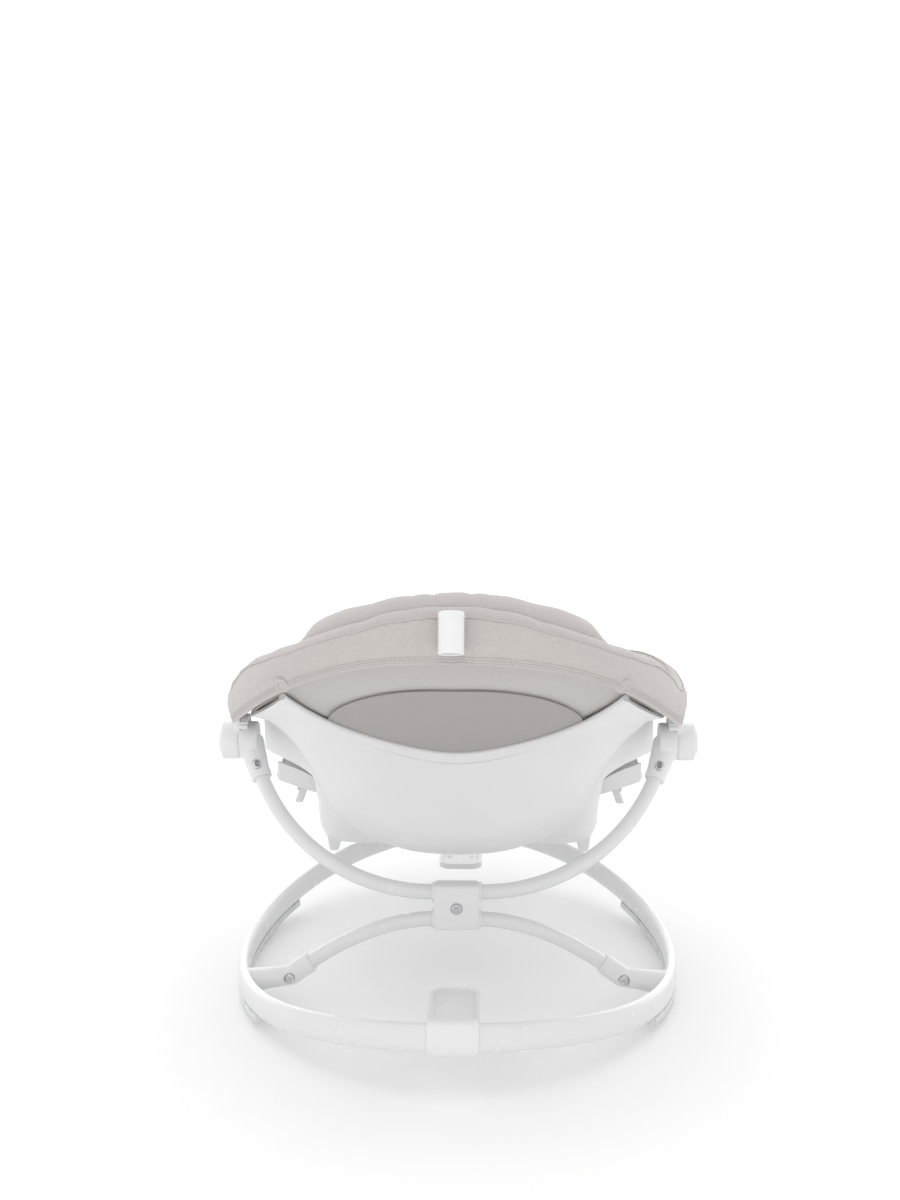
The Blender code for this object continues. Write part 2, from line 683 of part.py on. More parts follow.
def build_foot_panel():
    """Leg support panel under the foot half of the seat."""
    top, under = [], []
    for i in range(6):
        f = i / 5
        y = 0.078 + f * 0.240
        upper, lower = [], []
        for j in range(-6, 7):
            u = j / 6
            wide = 0.186 - 0.050 * f ** 2
            z = 0.143 + 0.030 * abs(u) ** 2.2 + 0.040 * f
            lower.append(Vector((u * wide, y + 0.012 * u * u, z)))
            upper.append(Vector((u * wide, y + 0.012 * u * u, z + 0.003)))
        top.append(upper)
        under.append(lower)
    panel = sheet_loft("foot_panel", top, under, (WHITE, 0.4, 0.0))
    for name, side in SIDES:
        for k in (-1.0, 1.0):
            x = side * LEVER_X + k * 0.0062
            ear = block("lever_ear_%s_%d" % (name, k),
                        (x - 0.0011, LEVER_Y - 0.0035, LEVER_Z - 0.0035),
                        (x + 0.0011, LEVER_Y + 0.0035, LEVER_Z + 0.0073))
            join(panel, ear)
        hole = rod("lever_hole_" + name, (side * LEVER_X - 0.012, LEVER_Y, LEVER_Z),
                   (side * LEVER_X + 0.012, LEVER_Y, LEVER_Z), 0.0018, sides=10)
        cut(panel, hole)


def build_levers():
    """Paddle levers of the docking latch, hinged under the foot panel."""
    for name, side in SIDES:
        x = side * LEVER_X
        lever = rod("latch_lever_" + name, (x - 0.0047, LEVER_Y, LEVER_Z),
                    (x + 0.0047, LEVER_Y, LEVER_Z), 0.0030, (WHITE, 0.4, 0.0), sides=14)
        stub = rod("lever_stub_" + name, (x - 0.0072, LEVER_Y, LEVER_Z),
                   (x + 0.0072, LEVER_Y, LEVER_Z), 0.0014, sides=10)
        low_x = x - side * 0.003
        rings = []
        for wide, deep, centre, z in ((0.0038, 0.0018, x, LEVER_Z),
                                      (0.0036, 0.0017, x - side * 0.0015, LEVER_Z - 0.012),
                                      (0.0030, 0.0015, low_x, LEVER_Z - 0.0245),
                                      (0.0016, 0.0012, low_x, LEVER_Z - 0.0265)):
            rings.append([Vector((centre + dx * wide, LEVER_Y + dy * deep, z))
                          for dx, dy in ((-1, -1), (1, -1), (1, 1), (-1, 1))])
        paddle = loft("paddle_" + name, rings, None, hidden=True)
        join(lever, stub, paddle)


# -------------------------------------------------------------------- cloth
def sling_centre(y):
    """Height of the sling's underside along its middle line."""
    controls = ((-0.354, 0.393), (-0.300, 0.347), (-0.200, 0.292), (-0.105, 0.252),
                (-0.050, 0.232), (0.0, 0.222), (0.120, 0.212), (0.250, 0.208),
                (0.374, 0.222))
    for (ya, za), (yb, zb) in zip(controls, controls[1:]):
        if y <= yb:
            f = max((y - ya) / (yb - ya), 0.0)
            f = f * f * (3 - 2 * f) * 0.35 + f * 0.65
            return za + (zb - za) * f
    return controls[-1][1]


SLING_POWER = 1.15


def sling_point(s, u, inset, lift):
    """Point of the sling surface: s along (-1..1), u across (-1..1)."""
    edge = rim_point(s, 1.0)
    length = RIM_HEAD if s < 0 else RIM_FOOT
    wide = max(edge.x - inset, 0.0)
    y = edge.y * (length - inset) / length
    belly = sling_centre(y)
    top = edge.z - 0.004
    x = wide * u
    z = belly + (top - belly) * abs(x / RIM_WIDE) ** SLING_POWER
    end = max(abs(s) - 0.86, 0.0) / 0.14
    z = z + (top - z) * end ** 2
    return Vector((x, y, z + lift))


def cloth_grid(inset, lift, rows, cols, first=-1.0, last=1.0, scale=1.0):
    grid = []
    for i in range(rows + 1):
        f = i / rows
        s = first + (last - first) * (0.5 - 0.5 * math.cos(f * math.pi))
        line = []
        for j in range(cols + 1):
            u = 2 * j / cols - 1
            line.append(sling_point(s * 0.985, u * scale, inset, lift))
        grid.append(line)
    return grid


def build_sling():
    inset = RIM_R + 0.0030
    under = cloth_grid(inset, 0.0, 16, 10)
    top = cloth_grid(inset, 0.0030, 16, 10)
    sheet_loft("sling_cover", top, under, (FABRIC_LIGHT, 0.95, 0.0))


def skirt_path():
    """Closed path around the rim, level by level."""
    levels = rim_levels(9)
    levels.insert(1, 0.09)
    path = [(-s, -1.0) for s in reversed(levels)] + [(s, -1.0) for s in levels[1:]]
    path += [(s, 1.0) for s in reversed(levels[:-1])] + [(-s, 1.0) for s in levels[1:-1]]
    return path


def build_skirt():
    rings = []
    for s, side in skirt_path():
        inner = rim_point(s, side, RIM_R + 0.0022)
        outer = rim_point(s, side, RIM_R + 0.0048)
        inner.x += side * 0.0008 * (1 - abs(s))
        drop = 0.0200 - 0.0090 * max(1 - abs(s) * 3.2, 0.0)
        rings.append([Vector((inner.x, inner.y, inner.z - drop)),
                      Vector((outer.x, outer.y, outer.z - drop)),
                      Vector((outer.x, outer.y, outer.z + 0.0125)),
                      Vector((inner.x, inner.y, inner.z + 0.0125))])
    skirt = loft("cover_skirt", rings, (FABRIC, 0.95, 0.0), closed=True)
    apex = rim_point(-1.0, 1.0)
    cut(skirt, rod("skirt_hole", (0, apex.y - 0.03, apex.z + 0.002),
                   (0, apex.y - 0.004, apex.z + 0.002), 0.0052, sides=14))


def build_toy_socket():
    """Open tube on the head rim that takes an accessory bar."""
    apex = rim_point(-1.0, 1.0)
    lean = Vector((0.0, math.sin(math.radians(18)), math.cos(math.radians(18))))
    centre = Vector((0.0, apex.y - RIM_R - 0.0185, apex.z + 0.0050))
    socket = rod("toy_bar_socket", centre - lean * 0.0165, centre + lean * 0.0165, 0.0100,
                 (WHITE, 0.4, 0.0), sides=24)
    post = rod("socket_post", (0, centre.y, apex.z + 0.002),
               (0, apex.y - RIM_R - 0.0004, apex.z + 0.002), 0.0042, sides=14)
    join(socket, post)
    cut(socket, rod("socket_well", centre - lean * 0.03, centre + lean * 0.0110, 0.0078,
                    sides=24))


def build_snaps():
    for name, side in SIDES:
        s = -0.80
        near, far = rim_point(s - 0.02, side), rim_point(s + 0.02, side)
        run = (far - near).normalized()
        out = run.cross(Vector((0, 0, 1))).normalized()
        if out.dot(Vector((side, -1.0, 0))) < 0:
            out = -out
        base = rim_point(s, side, RIM_R + 0.0048) - Vector((0, 0, 0.010))
        rod("snap_" + name, base + out * 0.0006, base + out * 0.0030, 0.0070,
            (FABRIC, 0.6, 0.0), radius_end=0.0062, sides=18)


PAD_HEAD, PAD_FOOT = -0.93, 0.90


def pad_thickness(s, u):
    """Thickness of the padded inlay, thin at its rim and fuller at the head."""
    g = min(max((s - PAD_HEAD) / (PAD_FOOT - PAD_HEAD), 0.0), 1.0)
    f = math.acos(1 - 2 * g) / math.pi
    edge = max((1 - abs(u) ** 3) * (1 - abs(2 * f - 1) ** 5), 0.0)
    swell = min(max(-0.45 - s, 0.0) / 0.35, 1.0)
    return 0.004 + 0.022 * edge + 0.024 * swell * max(1 - abs(u) ** 3.0, 0.0)


def build_pad():
    """Padded inlay: closed cushion lying in the sling."""
    top, under = [], []
    rows, cols = 14, 10
    for i in range(rows + 1):
        s = PAD_HEAD + (PAD_FOOT - PAD_HEAD) * (0.5 - 0.5 * math.cos(i / rows * math.pi))
        upper, lower = [], []
        for j in range(cols + 1):
            u = 2 * j / cols - 1
            base = sling_point(s, u * 0.90, 0.014, 0.0062)
            lower.append(base)
            upper.append(base + Vector((0, 0, pad_thickness(s, u))))
        top.append(upper)
        under.append(lower)
    sheet_loft("seat_pad", top, under, (FABRIC, 0.95, 0.0))


def pad_height(y, x=0.0):
    """Height of the pad's top face at a place on the seat."""
    s = y / ((RIM_HEAD if y < 0 else RIM_FOOT) - 0.014)
    wide = rim_point(s, 1.0).x - 0.014
    u = x / wide
    return sling_point(s, u, 0.014, 0.0062).z + pad_thickness(s, u / 0.90)


def build_pillow():
    top, under = [], []
    rows, cols = 6, 8
    for i in range(rows + 1):
        v = 2 * i / rows - 1
        upper, lower = [], []
        for j in range(cols + 1):
            u = 2 * j / cols - 1
            shape = math.sqrt(max(1 - 0.30 * v * v, 0.0))
            x = 0.100 * u * shape
            y = -0.225 + 0.062 * v * (1 - 0.12 * u * u)
            puff = (1 - u ** 4) * (1 - v ** 4)
            ring = min(math.hypot(u * 1.1, v * 1.1), 1.0)
            z = pad_height(y, x) + 0.0024
            lower.append(Vector((x, y, z + 0.008)))
            upper.append(Vector((x, y, z + 0.012 + 0.018 * puff * ring ** 0.7)))
        top.append(upper)
        under.append(lower)
    sheet_loft("head_pillow", top, under, (FABRIC_LIGHT, 0.95, 0.0))


def strap(name, stations, width, thick, across):
    """Webbing along stations with a fixed crosswise direction."""
    across = Vector(across).normalized()
    rings = []
    for k, p in enumerate(stations):
        a, b = stations[max(k - 1, 0)], stations[min(k + 1, len(stations) - 1)]
        run = (b - a).normalized()
        flat = (across - run * across.dot(run)).normalized()
        up = run.cross(flat)
        rings.append([p + flat * w * width / 2 + up * h * thick / 2
                      for w, h in ((-1, -1), (1, -1), (1, 1), (-1, 1))])
    return loft(name, rings, (WEBBING, 0.85, 0.0))


BUCKLE_Y = 0.020


def build_harness():
    base = pad_height(BUCKLE_Y) + 0.0100
    crotch = []
    for k in range(7):
        f = k / 6
        y = 0.125 - f * (0.125 - BUCKLE_Y - 0.024)
        crotch.append(Vector((0.0, y, pad_height(y) + 0.0060 + 0.004 * f)))
    strap("crotch_strap", crotch, 0.034, 0.0022, (1, 0, 0))
    body = block("buckle_body", (-0.0260, BUCKLE_Y - 0.020, base),
                 (0.0260, BUCKLE_Y + 0.022, base + 0.0130), (GREY, 0.45, 0.0),
                 bevel=0.0040, segments=2)
    cut(body, rod("button_hole", (0, BUCKLE_Y, base + 0.0060), (0, BUCKLE_Y, base + 0.03),
                  0.0088, sides=20))
    rod("buckle_button", (0, BUCKLE_Y, base + 0.0092), (0, BUCKLE_Y, base + 0.0146),
        0.0083, (WHITE, 0.4, 0.0), radius_end=0.0078, sides=20)
    for name, side in SIDES:
        cut(body, block("tongue_slot_" + name,
                        tuple(min(a, b) for a, b in zip((side * 0.0130, BUCKLE_Y - 0.0105,
                                                         base + 0.0030), (side * 0.04, 1, 1))),
                        (max(side * 0.0130, side * 0.04), BUCKLE_Y + 0.0105,
                         base + 0.0070)))
        tongue = block("strap_tongue_" + name,
                       (min(side * 0.0140, side * 0.0400), BUCKLE_Y - 0.0100, base + 0.0034),
                       (max(side * 0.0140, side * 0.0400), BUCKLE_Y + 0.0100, base + 0.0066),
                       (GREY, 0.45, 0.0))
        wing = block("tongue_wing_" + name,
                     (min(side * 0.0270, side * 0.0420), BUCKLE_Y - 0.0150, base + 0.0020),
                     (max(side * 0.0270, side * 0.0420), BUCKLE_Y + 0.0150, base + 0.0085),
                     bevel=0.0015, segments=1)
        join(tongue, wing)
        belt = []
        for k in range(7):
            f = k / 6
            x = 0.0428 + f * 0.100
            belt.append(Vector((side * x, BUCKLE_Y - 0.030 * f * f,
                                max(pad_height(BUCKLE_Y - 0.030 * f * f, x) + 0.0052,
                                    base + 0.0050))))
        strap("waist_strap_" + name, belt, 0.0250, 0.0020, (0, 1, 0))


# --------------------------------------------------------------------- axes
def hang_on(name, pivot, members):
    """Parent moving pieces to an empty on their joint's axis."""
    axis = bpy.data.objects.new(name, None)
    axis.location = pivot
    PARTS.objects.link(axis)
    for member in members:
        piece = bpy.data.objects[member]
        piece.parent = axis
        piece.matrix_parent_inverse = Matrix.Translation(-Vector(pivot))


def pair(name):
    return [name + "_left", name + "_right"]


def hang_moving_pieces():
    hang_on("axis_yoke_sway", (0.0, CROSS_Y, ARCH_TOP),
            ["yoke_tube", "pivot_bracket", "bracket_screw"]
            + pair("hub_elbow") + pair("hub_rivet") + pair("hub_axle"))
    hang_on("axis_seat_recline", (0.0, 0.0, HUB_Z),
            ["rim_head", "rim_foot", "seat_shell", "foot_panel", "sling_cover",
             "cover_skirt", "toy_bar_socket", "seat_pad", "head_pillow", "crotch_strap",
             "buckle_body"] + pair("seat_arm") + pair("hub_cap") + pair("snap")
            + pair("waist_strap") + pair("strap_tongue"))
    for name, sign in (("head", -1.0), ("foot", 1.0)):
        hang_on("axis_%s_stand" % name, (0.0, sign * STAND_PIVOT_Y, STAND_PIVOT_Z),
                [name + "_stand"])
    for name, side in SIDES:
        hang_on("axis_hub_button_" + name, (side * CAP_IN, 0.0, HUB_Z),
                ["hub_button_" + name])
        hang_on("axis_latch_lever_" + name, (side * LEVER_X, LEVER_Y, LEVER_Z),
                ["latch_lever_" + name])
    hang_on("axis_buckle_button", (0.0, BUCKLE_Y, pad_height(BUCKLE_Y) + 0.0192),
            ["buckle_button"])


# --------------------------------------------------------------------- build
clear_scene()
PARTS = collection("baby_rocking_seat")
CUTTERS = collection("cutters")
build_rails()
build_skids()
build_sleeves()
build_cross_tube()
build_yoke()
build_arms()
build_caps()
build_rim()
build_shell()
build_foot_panel()
build_levers()
build_sling()
build_skirt()
build_toy_socket()
build_snaps()
build_pad()
build_pillow()
build_harness()
hang_moving_pieces()
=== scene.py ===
"""Looks of a newborn rocking seat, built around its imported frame.

Every sub-assembly is a class with its sizes as fields.  Metres, +Z up, head end
towards -Y, recline axis along X.
"""
from __future__ import annotations

import logging
import math
from dataclasses import dataclass, field
from enum import Enum
from typing import Callable, Iterable, Sequence

import bpy
from mathutils import Matrix, Vector, noise


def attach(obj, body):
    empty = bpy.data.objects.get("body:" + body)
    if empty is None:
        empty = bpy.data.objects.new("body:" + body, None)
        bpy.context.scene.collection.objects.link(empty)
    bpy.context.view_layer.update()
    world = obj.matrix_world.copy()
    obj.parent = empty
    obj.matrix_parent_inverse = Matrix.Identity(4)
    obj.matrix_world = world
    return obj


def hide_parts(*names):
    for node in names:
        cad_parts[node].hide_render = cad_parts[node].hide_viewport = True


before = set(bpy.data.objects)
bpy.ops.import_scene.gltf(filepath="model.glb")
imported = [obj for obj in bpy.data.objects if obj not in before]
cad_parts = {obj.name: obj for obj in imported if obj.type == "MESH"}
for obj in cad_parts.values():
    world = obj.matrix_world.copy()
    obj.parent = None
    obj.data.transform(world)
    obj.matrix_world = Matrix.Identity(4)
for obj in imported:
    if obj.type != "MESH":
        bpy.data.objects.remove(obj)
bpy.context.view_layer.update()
LOG = logging.getLogger("rocking_seat")
SIDES: tuple[tuple[str, float], ...] = (("left", -1.0), ("right", 1.0))
Place = Callable[[float, float], Sequence[float]]
Outline = tuple[tuple[float, float], ...]
FULL_TURN = 2 * math.pi
CLOTH_ANGLE = 80.0
ROUND = 64
ROUND_HUB = 72


class Primitive(Enum):
    """Solids a piece can start from."""

    CUBE = "cube"
    CYLINDER = "cylinder"
    CONE = "cone"
    TORUS = "torus"


# ------------------------------------------------------------------ modelling
def deselect() -> None:
    """Leave edit mode and select nothing."""
    if bpy.context.object and bpy.context.object.mode != 'OBJECT':
        bpy.ops.object.mode_set(mode='OBJECT')
    bpy.ops.object.select_all(action='DESELECT')


def activate(obj: bpy.types.Object) -> bpy.types.Object:
    """Select one object alone and make it active."""
    deselect()
    obj.select_set(True)
    bpy.context.view_layer.objects.active = obj
    return obj


def settle(obj: bpy.types.Object) -> bpy.types.Object:
    """Apply location, rotation and scale, so the place is in the mesh."""
    activate(obj)
    bpy.ops.object.transform_apply(location=True, rotation=True, scale=True)
    return obj


def apply_modifiers(obj: bpy.types.Object) -> bpy.types.Object:
    """Apply every modifier in order."""
    activate(obj)
    for mod in list(obj.modifiers):
        bpy.ops.object.modifier_apply(modifier=mod.name)
    return obj


def add(kind: Primitive, name: str, centre: Sequence[float], size: Sequence[float],
        axis: Sequence[float] = (0, 0, 1), sides: int = 48) -> bpy.types.Object:
    """Add a primitive at its size and place.

    Args:
        kind: Which primitive.
        name: Name of the new piece.
        centre: Its middle, in metres.
        size: Cube: x, y, z. Cylinder: radius, length. Cone: both radii and length.
            Torus: major and minor radius.
        axis: Direction of its own Z axis.
        sides: Segments around.

    Returns:
        The new object, with its place applied.
    """
    deselect()
    turn = Vector(axis).to_track_quat('Z', 'Y').to_euler()
    where = dict(location=tuple(centre), rotation=turn)
    if kind is Primitive.CUBE:
        bpy.ops.mesh.primitive_cube_add(size=1.0, **where)
        bpy.context.object.scale = size
    elif kind is Primitive.CYLINDER:
        bpy.ops.mesh.primitive_cylinder_add(vertices=sides, radius=size[0], depth=size[1],
                                            **where)
    elif kind is Primitive.CONE:
        bpy.ops.mesh.primitive_cone_add(vertices=sides, radius1=size[0], radius2=size[1],
                                        depth=size[2], **where)
    else:
        bpy.ops.mesh.primitive_torus_add(major_radius=size[0], minor_radius=size[1],
                                         major_segments=sides, minor_segments=12, **where)
    obj = bpy.context.object
    obj.name = name
    return settle(obj)


def pick_faces(obj: bpy.types.Object, test: Callable[[Vector, Vector], bool]) -> None:
    """Go to edit mode with only the faces that pass the test selected."""
    activate(obj)
    bpy.ops.object.mode_set(mode='EDIT')
    bpy.ops.mesh.select_mode(type='FACE')
    bpy.ops.mesh.select_all(action='DESELECT')
    bpy.ops.object.mode_set(mode='OBJECT')
    for face in obj.data.polygons:
        face.select = test(face.center, face.normal)
    bpy.ops.object.mode_set(mode='EDIT')


def bevel(obj: bpy.types.Object, width: float, segments: int = 4,
          angle: float = 35.0) -> bpy.types.Object:
    """Round every edge sharper than an angle in degrees."""
    mod = obj.modifiers.new("rounding", 'BEVEL')
    mod.width = width
    mod.segments = segments
    mod.limit_method = 'ANGLE'
    mod.angle_limit = math.radians(angle)
    return apply_modifiers(obj)


def carve(obj: bpy.types.Object, cutter: bpy.types.Object,
          operation: str = 'DIFFERENCE') -> bpy.types.Object:
    """Apply a Boolean with a cutter and delete the cutter."""
    mod = obj.modifiers.new("carve", 'BOOLEAN')
    mod.operation = operation
    mod.solver = 'EXACT'
    mod.object = cutter
    apply_modifiers(obj)
    bpy.data.objects.remove(cutter, do_unlink=True)
    return obj


def merge(name: str, pieces: Sequence[bpy.types.Object]) -> bpy.types.Object:
    """Join pieces into one object under a new name."""
    deselect()
    for piece in pieces:
        piece.select_set(True)
    bpy.context.view_layer.objects.active = pieces[0]
    bpy.ops.object.join()
    joined = bpy.context.object
    joined.name = name
    return joined


def mould(obj: bpy.types.Object, voxel: float, rounds: int = 6) -> bpy.types.Object:
    """Fuse overlapping solids into one moulded body with soft inner corners."""
    mod = obj.modifiers.new("fuse", 'REMESH')
    mod.mode = 'VOXEL'
    mod.voxel_size = voxel
    soften = obj.modifiers.new("soften", 'SMOOTH')
    soften.factor = 0.5
    soften.iterations = rounds
    return apply_modifiers(obj)


def thicken(obj: bpy.types.Object, thickness: float) -> bpy.types.Object:
    """Give an open skin a thickness, half to each side."""
    mod = obj.modifiers.new("wall", 'SOLIDIFY')
    mod.thickness = thickness
    mod.offset = 0.0
    return apply_modifiers(obj)


def smooth(obj: bpy.types.Object, angle: float = 40.0) -> bpy.types.Object:
    """Shade smooth below an angle in degrees."""
    activate(obj)
    bpy.ops.object.shade_smooth_by_angle(angle=math.radians(angle))
    return obj


def wrap_grid(name: str, along: int, across: int, place: Place,
              caps: bool = True) -> bpy.types.Object:
    """Bend a grid primitive onto a surface, weld its seams and close its ends.

    Args:
        name: Name of the new piece.
        along: Divisions of the first parameter.
        across: Divisions of the second parameter.
        place: Gives the point for both parameters, from 0 to 1.
        caps: Whether open ends are filled.

    Returns:
        The closed piece, its faces pointing out.
    """
    deselect()
    bpy.ops.mesh.primitive_grid_add(x_subdivisions=along, y_subdivisions=across, size=1.0)
    obj = bpy.context.object
    obj.name = name
    for vertex in obj.data.vertices:
        vertex.co = place(min(max(vertex.co.x + 0.5, 0.0), 1.0),
                          min(max(vertex.co.y + 0.5, 0.0), 1.0))
    bpy.ops.object.mode_set(mode='EDIT')
    bpy.ops.mesh.select_all(action='SELECT')
    bpy.ops.mesh.remove_doubles(threshold=0.00001)
    if caps:
        bpy.ops.mesh.fill_holes(sides=0)
    bpy.ops.mesh.select_all(action='SELECT')
    bpy.ops.mesh.normals_make_consistent(inside=False)
    bpy.ops.object.mode_set(mode='OBJECT')
    return obj


def swept_tube(name: str, points: Iterable[Sequence[float]], radius: float,
               fine: int = 6) -> bpy.types.Object:
    """Bevelled curve along points, made a mesh with closed ends."""
    deselect()
    bpy.ops.curve.primitive_nurbs_path_add()
    obj = bpy.context.object
    obj.name = name
    curve = obj.data
    curve.splines.clear()
    route = [tuple(p) for p in points]
    spline = curve.splines.new('POLY')
    spline.points.add(len(route) - 1)
    for knot, point in zip(spline.points, route):
        knot.co = (*point, 1.0)
    curve.bevel_depth = radius
    curve.bevel_resolution = fine
    curve.use_fill_caps = True
    bpy.ops.object.convert(target='MESH')
    return weld(bpy.context.object)


def weld(obj: bpy.types.Object, distance: float = 0.00001) -> bpy.types.Object:
    """Merge doubled points and point the faces out."""
    activate(obj)
    bpy.ops.object.mode_set(mode='EDIT')
    bpy.ops.mesh.select_all(action='SELECT')
    bpy.ops.mesh.remove_doubles(threshold=distance)
    bpy.ops.mesh.normals_make_consistent(inside=False)
    bpy.ops.object.mode_set(mode='OBJECT')
    return obj


def catmull(controls: Sequence[Sequence[float]], f: float) -> Vector:
    """Point of a Catmull-Rom curve through controls, f from 0 to 1."""
    spans = len(controls) - 1
    at = min(max(f, 0.0) * spans, spans - 1e-9)
    i = int(at)
    t = at - i
    pts = [Vector(controls[min(max(k, 0), spans)]) for k in range(i - 1, i + 3)]
    a, b, c, d = pts
    return 0.5 * (2 * b + (c - a) * t + (2 * a - 5 * b + 4 * c - d) * t ** 2
                  + (3 * b - a - 3 * c + d) * t ** 3)


# ------------------------------------------------------------------ materials
class Nodes:
    """Small builder of node materials around one Principled shader."""

    def __init__(self, name: str, colour: Sequence[float], roughness: float,
                 metallic: float = 0.0) -> None:
        """Start a material with a plain shader."""
        self.mat = bpy.data.materials.new(name)
        self.mat.use_nodes = True
        self.tree = self.mat.node_tree
        self.shader = self.tree.nodes["Principled BSDF"]
        self.set("Base Color", (*colour, 1.0))
        self.set("Roughness", roughness)
        self.set("Metallic", metallic)
        self.mat.diffuse_color = (*colour, 1.0)
        self.coords = self.tree.nodes.new("ShaderNodeTexCoord")

    def set(self, socket: str, value: object) -> None:
        """Set a constant on the shader."""
        self.shader.inputs[socket].default_value = value

    def mapped(self, scale: Sequence[float]) -> bpy.types.NodeSocket:
        """Object coordinates stretched by a scale."""
        node = self.tree.nodes.new("ShaderNodeMapping")
        node.inputs["Scale"].default_value = scale
        self.tree.links.new(self.coords.outputs["Object"], node.inputs["Vector"])
        return node.outputs["Vector"]

    def noise(self, scale: float, detail: float = 2.0,
              stretch: Sequence[float] = (1, 1, 1)) -> bpy.types.NodeSocket:
        """Noise on object coordinates."""
        node = self.tree.nodes.new("ShaderNodeTexNoise")
        node.inputs["Scale"].default_value = scale
        node.inputs["Detail"].default_value = detail
        self.tree.links.new(self.mapped(stretch), node.inputs["Vector"])
        return node.outputs["Fac"]

    def wave(self, scale: float, direction: str,
             distortion: float = 0.0) -> bpy.types.NodeSocket:
        """Sine bands along one axis."""
        node = self.tree.nodes.new("ShaderNodeTexWave")
        node.wave_type = 'BANDS'
        node.bands_direction = direction
        node.inputs["Scale"].default_value = scale
        node.inputs["Distortion"].default_value = distortion
        node.inputs["Detail Scale"].default_value = 3.0
        self.tree.links.new(self.mapped((1, 1, 1)), node.inputs["Vector"])
        return node.outputs["Fac"]

    def math(self, operation: str, a: bpy.types.NodeSocket,
             b: bpy.types.NodeSocket | float) -> bpy.types.NodeSocket:
        """One Math node of two inputs."""
        node = self.tree.nodes.new("ShaderNodeMath")
        node.operation = operation
        self.tree.links.new(a, node.inputs[0])
        if isinstance(b, (int, float)):
            node.inputs[1].default_value = b
        else:
            self.tree.links.new(b, node.inputs[1])
        return node.outputs[0]

    def ramp(self, factor: bpy.types.NodeSocket,
             stops: Sequence[tuple[float, Sequence[float]]]) -> bpy.types.NodeSocket:
        """Colour ramp with stops of position and colour."""
        node = self.tree.nodes.new("ShaderNodeValToRGB")
        ramp = node.color_ramp
        while len(ramp.elements) < len(stops):
            ramp.elements.new(0.5)
        for element, (position, colour) in zip(ramp.elements, stops):
            element.position = position
            element.color = (*colour, 1.0)
        self.tree.links.new(factor, node.inputs["Fac"])
        return node.outputs["Color"]

    def span(self, factor: bpy.types.NodeSocket, low: float,
             high: float) -> bpy.types.NodeSocket:
        """Map 0..1 to a range."""
        node = self.tree.nodes.new("ShaderNodeMapRange")
        node.inputs["To Min"].default_value = low
        node.inputs["To Max"].default_value = high
        self.tree.links.new(factor, node.inputs["Value"])
        return node.outputs["Result"]

    def bump(self, height: bpy.types.NodeSocket, distance: float,
             strength: float = 1.0) -> None:
        """Add a bump on top of any earlier one."""
        node = self.tree.nodes.new("ShaderNodeBump")
        node.inputs["Distance"].default_value = distance
        node.inputs["Strength"].default_value = strength
        self.tree.links.new(height, node.inputs["Height"])
        normal = self.shader.inputs["Normal"]
        if normal.links:
            self.tree.links.new(normal.links[0].from_socket, node.inputs["Normal"])
        self.tree.links.new(node.outputs["Normal"], normal)

    def feed(self, output: bpy.types.NodeSocket, socket: str) -> None:
        """Link a result to the shader."""
        self.tree.links.new(output, self.shader.inputs[socket])


def tinted(colour: Sequence[float], factor: float) -> tuple[float, ...]:
    """Colour multiplied by a factor, kept under 1."""
    return tuple(min(c * factor, 1.0) for c in colour)


@dataclass(frozen=True)
class Plastic:
    """Moulded plastic with a fine spark-eroded grain."""

    name: str
    colour: tuple[float, float, float]
    roughness: float = 0.42
    grain: float = 0.00003

    def make(self) -> bpy.types.Material:
        """Build the material."""
        n = Nodes(self.name, self.colour, self.roughness)
        n.set("Specular IOR Level", 0.45)
        cloudy = n.noise(14.0, 3.0)
        n.feed(n.ramp(cloudy, ((0.3, tinted(self.colour, 0.985)),
                               (0.7, tinted(self.colour, 1.012)))), "Base Color")
        n.feed(n.span(n.noise(90.0, 3.0), self.roughness - 0.05, self.roughness + 0.06),
               "Roughness")
        n.bump(n.noise(1600.0, 2.0), self.grain)
        return n.mat


@dataclass(frozen=True)
class Paint:
    """Powder coat on steel tube, with a faint orange peel."""

    name: str
    colour: tuple[float, float, float]
    roughness: float = 0.26

    def make(self) -> bpy.types.Material:
        """Build the material."""
        n = Nodes(self.name, self.colour, self.roughness)
        n.feed(n.ramp(n.noise(22.0, 2.0), ((0.3, tinted(self.colour, 0.985)),
                                           (0.7, tinted(self.colour, 1.01)))), "Base Color")
        n.feed(n.span(n.noise(60.0, 2.0), self.roughness - 0.02, self.roughness + 0.03),
               "Roughness")
        n.bump(n.noise(60.0, 1.0), 0.00002)
        return n.mat


@dataclass(frozen=True)
class Metal:
    """Polished or plain steel."""

    name: str
    colour: tuple[float, float, float]
    roughness: float

    def make(self) -> bpy.types.Material:
        """Build the material."""
        n = Nodes(self.name, self.colour, self.roughness, 1.0)
        n.feed(n.span(n.noise(400.0, 2.0, (1, 6, 1)), self.roughness * 0.8,
                      self.roughness * 1.3), "Roughness")
        n.bump(n.noise(900.0, 1.0, (1, 8, 1)), 0.00001)
        return n.mat


